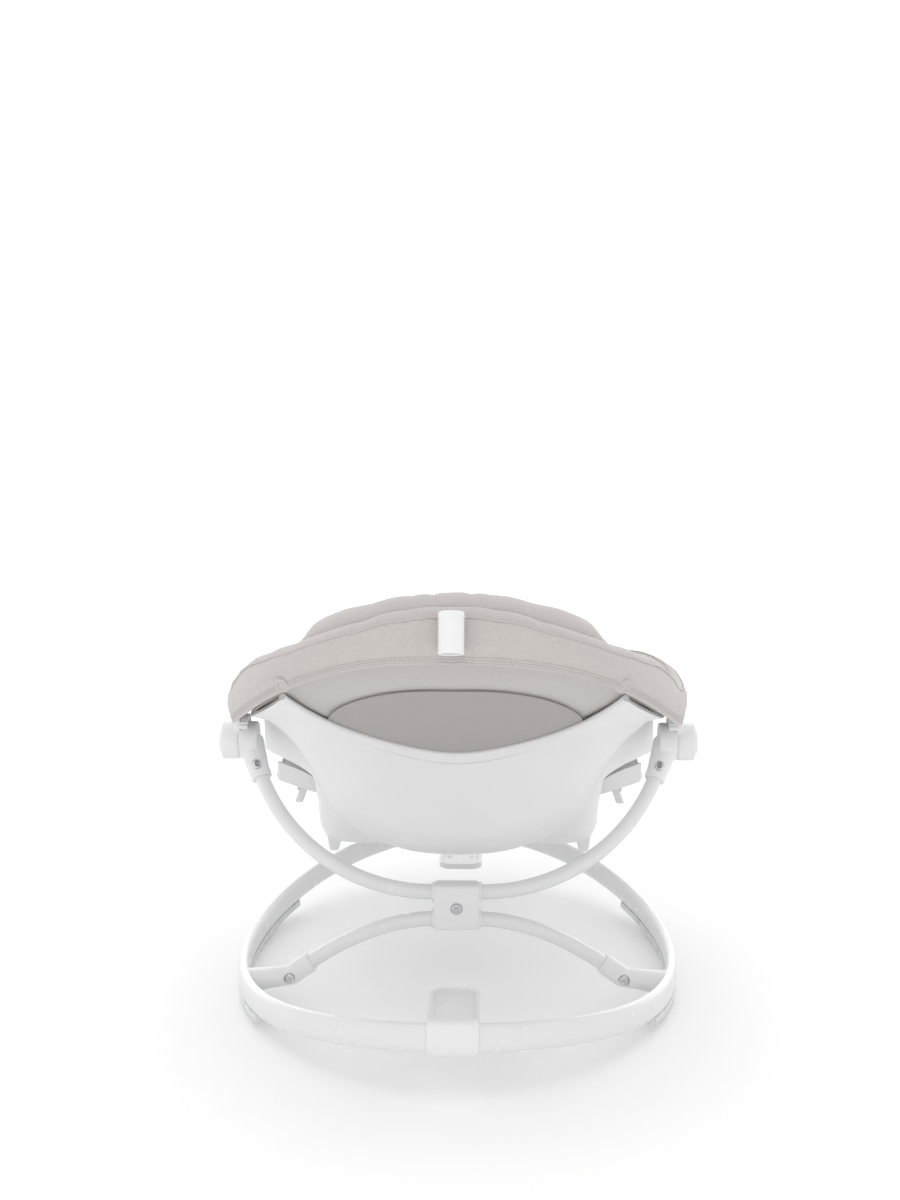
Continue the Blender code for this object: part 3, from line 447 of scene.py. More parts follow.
@dataclass(frozen=True)
class Cloth:
    """Woven melange cloth: two thread directions with mixed light and dark yarn."""

    name: str
    colour: tuple[float, float, float]
    threads: float = 560.0
    melange: float = 0.035
    relief: float = 0.00016
    sheen: float = 0.35

    def make(self) -> bpy.types.Material:
        """Build the material."""
        n = Nodes(self.name, self.colour, 0.92)
        n.set("Sheen Weight", self.sheen)
        n.set("Sheen Roughness", 0.45)
        n.set("Specular IOR Level", 0.2)
        streaks = n.noise(self.threads * 1.5, 2.0, (0.9, 0.9, 0.25))
        flecks = n.noise(self.threads * 1.1, 2.0, (0.45, 0.45, 1.0))
        mixed = n.math('ADD', n.math('MULTIPLY', streaks, 0.6),
                       n.math('MULTIPLY', flecks, 0.4))
        low, high = 1.0 - 1.6 * self.melange, 1.0 + 1.2 * self.melange
        n.feed(n.ramp(mixed, ((0.33, tinted(self.colour, low)), (0.47, self.colour),
                              (0.62, tinted(self.colour, high)))), "Base Color")
        weft = n.wave(self.threads, 'X', 0.6)
        warp = n.wave(self.threads, 'Z', 0.6)
        depth = n.wave(self.threads, 'Y', 0.6)
        weave = n.math('ADD', n.math('MULTIPLY', weft, warp), depth)
        n.bump(weave, self.relief, 0.5)
        n.bump(n.noise(45.0, 3.0), 0.0004, 0.5)
        return n.mat


@dataclass(frozen=True)
class Webbing:
    """Narrow woven strap with ribs across."""

    name: str
    colour: tuple[float, float, float]
    ribs: str = 'X'

    def make(self) -> bpy.types.Material:
        """Build the material."""
        n = Nodes(self.name, self.colour, 0.85)
        n.set("Sheen Weight", 0.2)
        ribs = n.wave(260.0, self.ribs, 0.3)
        n.feed(n.ramp(n.math('ADD', n.math('MULTIPLY', ribs, 0.5),
                             n.math('MULTIPLY', n.noise(300.0), 0.5)),
                      ((0.25, tinted(self.colour, 0.86)), (0.75, tinted(self.colour, 1.1)))),
               "Base Color")
        n.bump(ribs, 0.0003, 0.7)
        return n.mat


@dataclass(frozen=True)
class Rubber:
    """Matt grip strip."""

    name: str
    colour: tuple[float, float, float]

    def make(self) -> bpy.types.Material:
        """Build the material."""
        n = Nodes(self.name, self.colour, 0.7)
        n.feed(n.ramp(n.noise(70.0), ((0.3, tinted(self.colour, 0.93)),
                                      (0.7, tinted(self.colour, 1.05)))), "Base Color")
        n.bump(n.noise(700.0), 0.00008)
        return n.mat


@dataclass
class Finishes:
    """All finishes of the seat, made once."""

    plastic: bpy.types.Material = field(init=False)
    paint: bpy.types.Material = field(init=False)
    chrome: bpy.types.Material = field(init=False)
    steel: bpy.types.Material = field(init=False)
    cover: bpy.types.Material = field(init=False)
    lining: bpy.types.Material = field(init=False)
    panel: bpy.types.Material = field(init=False)
    thread: bpy.types.Material = field(init=False)
    webbing: bpy.types.Material = field(init=False)
    webbing_long: bpy.types.Material = field(init=False)
    grey: bpy.types.Material = field(init=False)
    rubber: bpy.types.Material = field(init=False)

    def __post_init__(self) -> None:
        """Make every material."""
        white = (0.785, 0.785, 0.79)
        self.plastic = Plastic("white_plastic", white).make()
        self.paint = Paint("white_paint", (0.76, 0.76, 0.765)).make()
        self.chrome = Metal("chrome", (0.64, 0.64, 0.65), 0.13).make()
        self.steel = Metal("plain_steel", (0.60, 0.60, 0.61), 0.33).make()
        self.cover = Cloth("cover_melange", (0.520, 0.484, 0.468)).make()
        self.lining = Cloth("lining_jersey", (0.50, 0.474, 0.458), 420.0, 0.025,
                            0.0001, 0.25).make()
        # The oval panel is sewn on for real; its colour, darker than the lining, is painted
        # shade under the sling.
        self.panel = Cloth("panel_with_painted_shade", (0.36, 0.335, 0.325), 420.0, 0.02,
                           0.0001, 0.2).make()
        self.thread = Cloth("seam_thread", (0.44, 0.408, 0.392), 600.0, 0.04,
                            0.0001, 0.2).make()
        self.webbing = Webbing("webbing", (0.50, 0.47, 0.45), 'Y').make()
        self.webbing_long = Webbing("webbing_waist", (0.50, 0.47, 0.45), 'X').make()
        self.grey = Plastic("grey_plastic", (0.46, 0.46, 0.47), 0.38).make()
        self.rubber = Rubber("grip_strip", (0.72, 0.72, 0.725)).make()


def dress(obj: bpy.types.Object, material: bpy.types.Material, body: str,
          *nodes: str, slot: str | None = None, angle: float = 40.0) -> bpy.types.Object:
    """Give a piece its finish, shade it smooth and fix it to the frame.

    Args:
        obj: The new piece.
        material: Its finish.
        body: CAD body that it rides on.
        nodes: CAD nodes that it stands for.
        slot: Not used.
        angle: Edges sharper than this stay sharp, in degrees.

    Returns:
        The same piece.
    """
    obj.data.materials.clear()
    obj.data.materials.append(material)
    smooth(obj, angle)
    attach(obj, body)
    if nodes:
        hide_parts(*nodes)
    LOG.info("%s: %d faces on %s", obj.name, len(obj.data.polygons), body)
    return obj


def refinish(node: str, material: bpy.types.Material) -> None:
    """Give a kept CAD node a better material."""
    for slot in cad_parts[node].material_slots:
        slot.material = material


# ----------------------------------------------------------------- plan curves
@dataclass(frozen=True)
class Plan:
    """Driving curves of the frame: base ring, tubes and seat rim."""

    ring_length: float = 0.320
    ring_width: float = 0.2093
    ring_rise: float = 0.038
    ring_z: float = 0.0165
    rail_tall: float = 0.012
    rail_thick: float = 0.0055
    cross_y: float = -0.090
    arch_top: float = 0.0815
    yoke_low: float = 0.1078
    tube_r: float = 0.0071
    hub_z: float = 0.2325
    hub_r: float = 0.0185
    rim_r: float = 0.008
    rim_wide: float = 0.208
    rim_z: float = 0.287
    rim_head: float = 0.362
    rim_foot: float = 0.3903
    sling_drop: float = 0.004
    shell_gap: float = 0.0045

    def ring_frame(self, t: float) -> tuple[Vector, Vector, Vector]:
        """Centre, outward and up directions of the base ring."""
        x, y = -self.ring_width * math.sin(t), self.ring_length * math.cos(t)
        slope = 2 * self.ring_rise / self.ring_length ** 2 * y
        centre = Vector((x, y, self.ring_z + self.ring_rise * (y / self.ring_length) ** 2))
        run = Vector((-self.ring_width * math.cos(t), -self.ring_length * math.sin(t), 0.0))
        run.z = slope * run.y
        run.normalize()
        out = run.cross(Vector((0.0, -slope, 1.0))).normalized()
        if out.dot(Vector((x, y, 0.0))) < 0:
            out = -out
        up = run.cross(out)
        return centre, out, up if up.z > 0 else -up

    def ring_point(self, t: float, angle: float, grow: float = 0.0,
                   power: float = 0.8) -> Vector:
        """Point of the rail's oval skin, grown outwards."""
        centre, out, up = self.ring_frame(t)
        c, s = math.cos(angle), math.sin(angle)
        wide = (self.rail_thick + grow) * math.copysign(abs(c) ** power, c)
        tall = (self.rail_tall + grow) * math.copysign(abs(s) ** power, s)
        return centre + out * wide + up * tall

    def arch(self, x: float) -> Vector:
        """Centre line of the lower cross tube."""
        reach = max(abs(x) - 0.022, 0.0) / 0.098
        return Vector((x, self.cross_y, self.arch_top - 0.0311 * reach ** 1.87))

    def yoke(self, x: float) -> Vector:
        """Centre line of the yoke tube."""
        reach = max(abs(x) - 0.024, 0.0) / 0.181
        z = self.yoke_low + 0.155 * (1 - math.sqrt(1 - reach ** 2))
        return Vector((x, self.cross_y + (z - self.yoke_low) * 0.7229, z))

    def rim(self, s: float, side: float, grow: float = 0.0) -> Vector:
        """Seat rim: s from -1 at the head over 0 at the hub to 1 at the foot."""
        head = s < 0
        length = self.rim_head if head else self.rim_foot
        taper, rise, power = (0.11, 0.115, 2.7) if head else (0.16, -0.060, 3.0)
        a = min(abs(s), 1.0)
        slim = max(a - 0.09, 0.0) / 0.91
        x = (self.rim_wide * (1 - taper * slim) + grow) * (1 - a ** power) ** (1 / power)
        return Vector((side * x, math.copysign((length + grow) * a, s),
                       self.rim_z + rise * a ** 2.0))

    def belly(self, y: float) -> float:
        """Height of the sling's underside along its middle line."""
        controls = ((-0.354, 0.393), (-0.300, 0.347), (-0.200, 0.292), (-0.105, 0.2485),
                    (-0.050, 0.2290), (0.0, 0.2190), (0.120, 0.212), (0.250, 0.208),
                    (0.374, 0.222))
        ys = [c[0] for c in controls]
        slopes = []
        for k in range(len(controls)):
            a, b = controls[max(k - 1, 0)], controls[min(k + 1, len(controls) - 1)]
            slopes.append((b[1] - a[1]) / (b[0] - a[0]))
        y = min(max(y, ys[0]), ys[-1])
        k = max(i for i in range(len(ys) - 1) if ys[i] <= y)
        width = ys[k + 1] - ys[k]
        f = (y - ys[k]) / width
        return ((2 * f ** 3 - 3 * f ** 2 + 1) * controls[k][1]
                + (f ** 3 - 2 * f ** 2 + f) * width * slopes[k]
                + (3 * f ** 2 - 2 * f ** 3) * controls[k + 1][1]
                + (f ** 3 - f ** 2) * width * slopes[k + 1])

    def drape(self, x: float, y: float, top: float) -> float:
        """Height of the sling over a place, below a rim of a given height."""
        belly, reach = self.belly(y), x / self.rim_wide
        return belly + (top - belly) * ((reach ** 2 + 0.012) ** 0.575 - 0.0787)

    def below_sling(self, x: float, y: float) -> float:
        """Height just under the sling at a place in plan."""
        edge = self.rim(y / (self.rim_head if y < 0 else self.rim_foot), 1.0)
        top = edge.z - self.sling_drop
        return self.drape(min(abs(x), edge.x), y, top) - self.shell_gap

    def sling(self, s: float, u: float, inset: float, lift: float) -> Vector:
        """Point of the sling: s along, u across, both from -1 to 1."""
        edge = self.rim(s, 1.0)
        length = self.rim_head if s < 0 else self.rim_foot
        x = max(edge.x - inset, 0.0) * u
        y = edge.y * (length - inset) / length
        top = edge.z - self.sling_drop
        z = self.drape(x, y, top)
        end = max(abs(s) - 0.86, 0.0) / 0.14
        return Vector((x, y, z + (top - z) * end ** 2 + lift))


PLAN = Plan()


# ---------------------------------------------------------------- small pieces
def bar(name: str, start: Sequence[float], end: Sequence[float], radius: float,
        radius_end: float | None = None, sides: int = 48) -> bpy.types.Object:
    """Round bar or cone from a start to an end point."""
    a, b = Vector(start), Vector(end)
    tip = radius if radius_end is None else radius_end
    return add(Primitive.CONE, name, (a + b) / 2, (radius, tip, (b - a).length),
               axis=b - a, sides=sides)


def block(name: str, low: Sequence[float], high: Sequence[float],
          rounding: float = 0.0) -> bpy.types.Object:
    """Box between two corners with rounded edges."""
    a, b = Vector(low), Vector(high)
    size = [abs(v) for v in (b - a)]
    obj = add(Primitive.CUBE, name, (a + b) / 2, size)
    return bevel(obj, rounding) if rounding else obj


def screw(name: str, seat: Sequence[float], direction: Sequence[float], head: float,
          material: bpy.types.Material, body: str) -> bpy.types.Object:
    """Pan-head screw with a cross recess, standing for its CAD node.

    Args:
        name: Name of the CAD node.
        seat: Middle of the face it sits on.
        direction: Where its head points.
        head: Head radius.
        material: Its finish.
        body: CAD body that it rides on.

    Returns:
        The dressed screw.
    """
    axis = Vector(direction).normalized()
    base = Vector(seat)
    dome = bar(name + "_v", base - axis * 0.002, base + axis * 0.0019, head)
    bevel(dome, 0.0011, 4)
    turn = axis.to_track_quat('Z', 'Y')
    for k in range(2):
        slot = add(Primitive.CUBE, "slot", (0, 0, 0), (head * 1.1, 0.0009, 0.0022))
        spin = Matrix.Rotation(k * math.pi / 2 + 0.5, 4, 'Z')
        slot.data.transform(Matrix.Translation(base + axis * 0.0019)
                            @ turn.to_matrix().to_4x4() @ spin)
        carve(dome, slot)
    return dress(dome, material, body, name)


def stitches(name: str, route: Sequence[Vector], radius: float, length: float,
             gap: float) -> bpy.types.Object:
    """Row of sewn stitches along a route: one modelled, then copied along it."""
    stitch = add(Primitive.CYLINDER, name, (0, 0, 0), (radius, length), sides=6)
    base = [v.co.copy() for v in stitch.data.vertices]
    faces = [tuple(p.vertices) for p in stitch.data.polygons]
    total, places = 0.0, []
    for a, b in zip(route, route[1:]):
        step = (b - a).length
        while total < step:
            places.append((a.lerp(b, total / step), (b - a).normalized()))
            total += length + gap
        total -= step
    points, polygons = [], []
    for centre, run in places:
        turn = run.to_track_quat('Z', 'Y')
        start = len(points)
        points += [turn @ co + centre for co in base]
        polygons += [tuple(start + i for i in face) for face in faces]
    stitch.data.clear_geometry()
    stitch.data.from_pydata(points, [], polygons)
    return stitch


# ----------------------------------------------------------------- rocker base
@dataclass
class RockerBase:
    """Base ring, skids, sleeves, fold-down stands and the lower cross tube."""

    finishes: Finishes
    sleeve_half: float = 0.0215
    skid_reach: float = 0.170
    skid_flat: float = 0.060
    pivot_y: float = 0.3025
    pivot_z: float = 0.048
    tip_y: float = 0.190
    plate_wide: float = 0.046
    plate_thick: float = 0.006
    plate_wall: float = 0.0042
    recess: float = 0.0024
    tip_r: float = 0.014
    hollow_r: float = 0.0105
    mark_x: float = 0.012
    mark_in: float = 0.036
    mark_size: tuple[float, float] = (0.0026, 0.00045)
    ear_in: float = 0.0137
    ear_out: float = 0.0203
    ear_reach: float = 0.0099
    arch_reach: float = 0.1375
    socket_sizes: Outline = ((0.0150, 0.0112), (0.0126, 0.0101), (0.0112, 0.0098),
                             (0.0105, 0.0099), (0.0101, 0.0099), (0.0100, 0.0098))

    def build(self) -> None:
        """Model and dress every piece of the base."""
        self.ring()
        self.skids()
        for name, base, sign in (("head", math.pi, -1.0), ("foot", 0.0, 1.0)):
            self.sleeve(name, base, sign)
            self.stand(name, sign)
            refinish(name + "_stand_pin", self.finishes.steel)
        self.cross_tube()

    def ring(self) -> None:
        """Oval ring as one closed rail."""
        ring = wrap_grid("base_ring", 240, 36, lambda a, b: PLAN.ring_point(
            a * FULL_TURN, b * FULL_TURN), caps=False)
        dress(ring, self.finishes.paint, "base", "rail_left", "rail_right", angle=60)

    def skids(self) -> None:
        """Grip strip under each long side."""
        reach = math.acos(self.skid_reach / PLAN.ring_length)
        for name, side in SIDES:
            def place(a: float, b: float, side: float = side) -> Vector:
                """Point of the strip: a along the rail, b around."""
                t = reach + (math.pi - 2 * reach) * a
                centre, out, up = PLAN.ring_frame(t)
                angle = b * FULL_TURN
                c, s = math.cos(angle), math.sin(angle)
                wide = 0.0048 * math.copysign(abs(c) ** 0.3, c)
                rise = max(centre.y ** 2 - self.skid_flat ** 2, 0.0)
                low = PLAN.ring_rise / PLAN.ring_length ** 2 * rise
                top = centre - up * (PLAN.rail_tall - 0.0008)
                middle, half = (top.z + low) / 2, (top.z - low) / 2
                z = middle + half * math.copysign(abs(s) ** 0.35, s)
                point = top + out * wide
                return Vector((-side * point.x, point.y, z))
            skid = wrap_grid("skid_" + name, 60, 24, place)
            dress(skid, self.finishes.rubber, "base", "rocker_skid_" + name)

    def sleeve(self, name: str, base: float, sign: float) -> None:
        """Sleeve around the rail with two hinge ears."""
        edge = math.asin(self.sleeve_half / PLAN.ring_width)

        def place(a: float, b: float) -> Vector:
            """Point of the sleeve: a along the rail, b around."""
            f = 2 * a - 1
            grow = 0.0038 * (1 - abs(f) ** 12) ** 0.5 - 0.0003
            return PLAN.ring_point(base + edge * f, b * FULL_TURN, grow)
        pieces = [wrap_grid(name + "_sleeve_v", 40, 36, place)]
        y = sign * self.pivot_y
        for side in (-1.0, 1.0):
            ear = bar("ear", (side * 0.0135, y, self.pivot_z),
                      (side * 0.0205, y, self.pivot_z), 0.0046)
            x0, x1 = sorted((side * self.ear_in, side * self.ear_out))
            y0, y1 = sorted((y, y + sign * self.ear_reach))
            web = block("web", (x0, y0, self.pivot_z - 0.003),
                        (x1, y1, self.pivot_z + 0.0042), 0.0008)
            pieces += [bevel(ear, 0.0008), web]
        sleeve = merge(name + "_sleeve_v", pieces)
        dress(sleeve, self.finishes.plastic, "base", name + "_sleeve")

    def tongue(self, name: str, half: float, ends: tuple[float, float],
               levels: tuple[float, float], radius: float) -> bpy.types.Object:
        """Flat plate from its hinge end to its rounded tip end."""
        (start, tip), (low, high) = ends, levels
        plate = add(Primitive.CUBE, name, (0, (start + tip) / 2, (low + high) / 2),
                    (half * 2, abs(start - tip), high - low))
        activate(plate)
        bpy.ops.object.mode_set(mode='EDIT')
        bpy.ops.mesh.select_mode(type='EDGE')
        for near, corner in ((tip, radius), (start, 0.003)):
            bpy.ops.mesh.select_all(action='DESELECT')
            bpy.ops.object.mode_set(mode='OBJECT')
            points = plate.data.vertices
            for rim_edge in plate.data.edges:
                one, two = (points[i].co for i in rim_edge.vertices)
                upright = abs(one.z - two.z) > (high - low) * 0.9
                rim_edge.select = upright and abs(one.y - near) < 0.001
            bpy.ops.object.mode_set(mode='EDIT')
            bpy.ops.mesh.bevel(offset=corner, segments=10, affect='EDGES')
        bpy.ops.mesh.select_mode(type='FACE')
        bpy.ops.object.mode_set(mode='OBJECT')
        return plate

    def stand(self, name: str, sign: float) -> None:
        """Rimmed plate with a recess and two moulding marks."""
        y = sign * self.pivot_y
        start, tip = y - sign * 0.006, sign * self.tip_y
        half, z = self.plate_wide / 2, self.pivot_z
        top = z + self.plate_thick / 2
        levels = (z - self.plate_thick / 2, top)
        plate = self.tongue(name + "_stand_v", half, (start, tip), levels, self.tip_r)
        wall = self.plate_wall
        ends = (start - sign * wall, tip + sign * wall)
        carve(plate, self.tongue("hollow", half - wall, ends, (top - self.recess, top + 0.01),
                                 self.hollow_r))
        bevel(plate, 0.0009, 4)
        floor_z = top - self.recess
        pieces = [plate]
        for x in (-self.mark_x, self.mark_x):
            pieces.append(add(Primitive.TORUS, "mark", (x, tip + sign * self.mark_in, floor_z),
                              self.mark_size))
        barrel = bar("barrel", (-0.013, y, z), (0.013, y, z), 0.0041)
        near, far = sorted((y, start - sign * 0.003))
        neck = block("neck", (-0.0126, near, z - 0.0028), (0.0126, far, z + 0.0028), 0.0006)
        pieces += [bevel(barrel, 0.0006), neck]
        stand = merge(name + "_stand_v", pieces)
        dress(stand, self.finishes.plastic, name + "_stand_leaf", name + "_stand")
        LOG.info("stand plate %s is %.0f mm wide", name, half * 2000)

    def cross_tube(self) -> None:
        """Lower cross tube in its two moulded sockets."""
        drop = Vector((-0.8192, 0.0, -0.5736))
        mouth = PLAN.arch(-self.arch_reach)
        left = [mouth + drop * 0.017, mouth]
        left += [PLAN.arch(-self.arch_reach + self.arch_reach * k / 40) for k in range(1, 40)]
        route = left + [PLAN.arch(0.0)] + [Vector((-p.x, p.y, p.z)) for p in reversed(left)]
        tube = swept_tube("cross_tube", route, PLAN.tube_r)
        dress(tube, self.finishes.paint, "base", "arch_tube")
        centre, out, _ = PLAN.ring_frame(math.radians(106.5))
        foot = centre - out * (PLAN.rail_thick * 0.5)
        knee = mouth + drop * 0.024
        for name, side in SIDES:
            def place(a: float, b: float, side: float = side) -> Vector:
                """Point of the socket: a towards the tube, b around."""
                middle = foot.lerp(knee, min(a / 0.5, 1.0)) if a <= 0.5 else \
                    knee.lerp(mouth, (a - 0.5) / 0.5)
                run = (-out).lerp(-drop, min(a * 1.6, 1.0)).normalized()
                flat = Vector((0.0, 1.0, 0.0))
                across = (flat - run * flat.dot(run)).normalized()
                rise = run.cross(across)
                wide, tall = catmull([(*s, 0.0) for s in self.socket_sizes], a)[:2]
                lip = (1 - max(a - 0.94, 0.0) / 0.06 * 0.12)
                angle = b * FULL_TURN
                point = middle + across * wide * lip * math.cos(angle) \
                    + rise * tall * lip * math.sin(angle)
                return Vector((-side * point.x, point.y, point.z))
            socket = wrap_grid("cross_socket_" + name, 44, 40, place)
            seat = mouth + drop * 0.0245
            front = Vector((-side * seat.x, seat.y - 0.0088, seat.z))
            carve(socket, bar("flat", front, front - Vector((0, 0.03, 0)), 0.0056))
            dress(socket, self.finishes.plastic, "base", "arch_socket_" + name)
            screw("socket_screw_" + name, front - Vector((0, 0.0004, 0)), (0, -1, 0), 0.0046,
                  self.finishes.chrome, "base")


# ------------------------------------------------------------------- the yoke
@dataclass
class Yoke:
    """Yoke tube on its pivot bracket, with a moulded elbow at each hub."""

    finishes: Finishes
    flat: float = 0.024
    last: float = 0.1896
    elbow_in: float = 0.1950
    elbow_out: float = 0.2126
    elbow_root: float = 0.2032
    block_wide: float = 0.0215
    block_deep: float = 0.0112
    block_tall: float = 0.0218

    def build(self) -> None:
        """Model and dress every piece of the yoke."""
        steps = 36
        xs = [0.0, self.flat * 0.5, self.flat] + [
            self.flat + (self.last - self.flat) * math.sin(k / steps * math.pi / 2)
            for k in range(1, steps + 1)]
        half = [PLAN.yoke(-x) for x in xs]
        run = (PLAN.yoke(-self.last) - PLAN.yoke(-self.last + 0.0004)).normalized()
        mouth = half[-1]
        half.append(mouth + run * 0.0175)
        route = list(reversed(half)) + [Vector((-p.x, p.y, p.z)) for p in half[1:]]
        tube = swept_tube("yoke_tube_v", route, PLAN.tube_r)
        dress(tube, self.finishes.paint, "yoke", "yoke_tube")
        self.bracket()
        for name, side in SIDES:
            self.elbow(name, side, mouth, run)
            refinish("hub_axle_" + name, self.finishes.steel)

    def bracket(self) -> None:
        """Block that holds both tubes, with its screw sunk in the front."""
        middle = (PLAN.arch_top + PLAN.yoke_low) / 2
        y = PLAN.cross_y
        half = Vector((self.block_wide, self.block_deep, self.block_tall))
        centre = Vector((0.0, y, middle))
        body = block("bracket_v", centre - half, centre + half, 0.0036)
        front = y - self.block_deep
        carve(body, bar("sink", (0, front - 0.01, middle), (0, front + 0.0014, middle),
                        0.0058))
        for z in (PLAN.arch_top, PLAN.yoke_low):
            for side in (-1.0, 1.0):
                collar = bar("collar", (side * 0.0195, y, z), (side * 0.0235, y, z), 0.0092)
                bevel(collar, 0.0008)
                body = merge("bracket_v", [body, collar])
        dress(body, self.finishes.plastic, "yoke", "pivot_bracket")
        screw("bracket_screw", (0, front + 0.0009, middle), (0, -1, 0), 0.0047,
              self.finishes.chrome, "yoke")

    def elbow(self, name: str, side: float, mouth: Vector, run: Vector) -> None:
        """Moulded hub collar with the sleeve that grips the tube."""
        def flip(p: Vector) -> Vector:
            """Mirror a left-hand point to this side."""
            return Vector((-side * p.x, p.y, p.z))
        hub_z = PLAN.hub_z
        collar = bar("collar", (side * self.elbow_in, 0, hub_z),
                     (side * self.elbow_out, 0, hub_z), PLAN.hub_r, sides=ROUND)
        bevel(collar, 0.0016)
        neck = bar("neck", flip(mouth - run * 0.0005), flip(mouth + run * 0.018), 0.0102,
                   0.0105)
        body = bar("body", flip(mouth + run * 0.012), (side * self.elbow_root, 0, hub_z), 0.0108,
                   0.0128)
        elbow = mould(merge("elbow_" + name, [collar, neck, body]), 0.0009)
        front = Vector((0.0, -0.86, 0.510))
        seat = mouth + run * 0.0120
        top = flip(seat + front * 0.0104)
        carve(elbow, bar("sink", top - front * 0.0009, top + front * 0.01, 0.0054))
        dress(elbow, self.finishes.plastic, "yoke", "hub_elbow_" + name)
        screw("hub_rivet_" + name, top - front * 0.0010, front, 0.0044,
              self.finishes.chrome, "yoke")


# ----------------------------------------------------------------- seat frame
@dataclass
class SeatFrame:
    """Seat arms, hub caps, shell, foot panel, levers, rim and accessory socket."""

    finishes: Finishes
    arm_in: float = 0.2115
    arm_out: float = 0.2180
    cap_in: float = 0.2132
    cap_out: float = 0.2300
    button_out: float = 0.2325
    shell_thick: float = 0.0030
    apron_thick: float = 0.0026
    button_r: float = 0.0131
    well_r: float = 0.0136
    rack_in: float = 0.2040
    rack_out: float = 0.2125
    rack_r: float = 0.0246
    lip_wide: float = 0.1440
    lip_middle: float = -0.105
    lip_forward: float = 0.155
    panel_wide: float = 0.186
    lever_x: float = 0.160
    low: Outline = ((0.0, 0.1377), (0.045, 0.1418), (0.087, 0.1571), (0.117, 0.180),
                  (0.137, 0.212), (0.161, 0.2400), (0.1965, 0.2610))
    floor: Outline = ((0.0, 0.131), (0.060, 0.131), (0.116, 0.132), (0.133, 0.146),
                    (0.138, 0.172), (0.149, 0.198), (0.1930, 0.2140))
    back: Outline = ((0.0, 0.121), (0.060, 0.121), (0.118, 0.122), (0.134, 0.132),
                   (0.138, 0.152), (0.145, 0.176), (0.187, 0.2090))

    def build(self) -> None:
        """Model and dress every piece of the seat frame."""
        for name, side in SIDES:
            self.arm(name, side)
            self.cap(name, side)
            self.lever(name, side)
        self.shell()
        self.foot_panel()
        for node in ("rim_head", "rim_foot"):
            refinish(node, self.finishes.paint)
        self.socket()

    def arm(self, name: str, side: float) -> None:
        """Arm from hub disc to rim sleeve, with the ratchet rack beside it."""
        z, rim_z, centre = PLAN.hub_z, PLAN.rim_z, side * PLAN.rim_wide
        disc = bar("disc", (side * self.arm_in, 0, z), (side * self.arm_out, 0, z), 0.0172,
                   sides=ROUND)
        x0, x1 = sorted((side * self.arm_in, side * self.arm_out))
        web = block("web", (x0, -0.015, z + 0.006), (x1, 0.015, rim_z + 0.004))
        sleeve = bar("sleeve", (centre, -0.030, rim_z), (centre, 0.030, rim_z), 0.0102)
        arm = merge("arm_" + name, [bevel(disc, 0.001), web, sleeve])
        dress(mould(arm, 0.0009, 4), self.finishes.plastic, "seat", "seat_arm_" + name)
        rack = bar("ratchet_" + name, (side * self.rack_in, 0, z), (side * self.rack_out, 0, z),
                   self.rack_r, sides=ROUND_HUB)
        for vertex in rack.data.vertices:
            angle = math.atan2(vertex.co.z - z, vertex.co.y)
            tooth = 1.05 if round(angle / (math.pi / 36)) % 2 else 0.95
            vertex.co.y *= tooth
            vertex.co.z = z + (vertex.co.z - z) * tooth
        carve(rack, block("keep", (side * 0.208 - 0.02, -0.017, z + 0.0145),
                          (side * 0.208 + 0.02, 0.017, z + 0.04)), 'INTERSECT')
        dress(rack, self.finishes.plastic, "seat", slot="seat_arm_" + name, angle=25)

    def cap(self, name: str, side: float) -> None:
        """Hub cover ring and its round release button."""
        z = PLAN.hub_z
        cap = bar("cap_" + name, (side * self.cap_in, 0, z), (side * self.cap_out, 0, z),
                  PLAN.hub_r, sides=ROUND_HUB)
        carve(cap, bar("well", (side * (self.cap_in + 0.0058), 0, z), (side * 0.26, 0, z),
                       self.well_r, sides=ROUND_HUB))
        bevel(cap, 0.0016, 4)
        dress(cap, self.finishes.plastic, "seat", "hub_cap_" + name)
        button = bar("button_" + name, (side * (self.cap_in + 0.0112), 0, z),
                     (side * self.button_out, 0, z), self.button_r, 0.0128, sides=ROUND_HUB)
        bevel(button, 0.0018, 4)
        dress(button, self.finishes.plastic, "hub_button_%s_unit" % name,
              "hub_button_" + name)

    def shell_point(self, v: float, u: float) -> Vector:
        """Outer skin: v from the lip to the back edge, u across from -1 to 1."""
        a = abs(u)
        low, floor, back = (catmull([(*p, 0.0) for p in row], a)
                            for row in (self.low, self.floor, self.back))
        lip = Vector((self.lip_wide * a, self.lip_middle - self.lip_forward * a ** 3, 0.0))
        lip.z = PLAN.below_sling(lip.x, lip.y)
        flange = Vector((low.x, -0.060 + 0.070 * a ** 3, low.y))
        face, out = flange - lip, Vector((0.0, -1.0, -0.25))
        wing = Vector((0.016 * a ** 4, 0.0, 0.0))
        rows = (lip, lip + face * 0.35 + out * 0.0085 * (1 - a) + wing,
                lip + face * 0.70 + out * 0.0140 * (1 - a * a) + wing * 0.8,
                lip + face * 0.88 + out * 0.0085 * (1 - a * a), flange,
                flange + Vector((-0.0060 * a, 0.0060, 0.0070 - 0.003 * a)),
                Vector((floor.x, 0.050 * a ** 3, floor.y)),
                Vector((back.x, 0.062 + 0.02 * a ** 3, back.y)))
        point = catmull(rows, v)
        point.z = min(point.z, PLAN.below_sling(point.x, point.y))
        point.x = math.copysign(point.x, u)
        return point

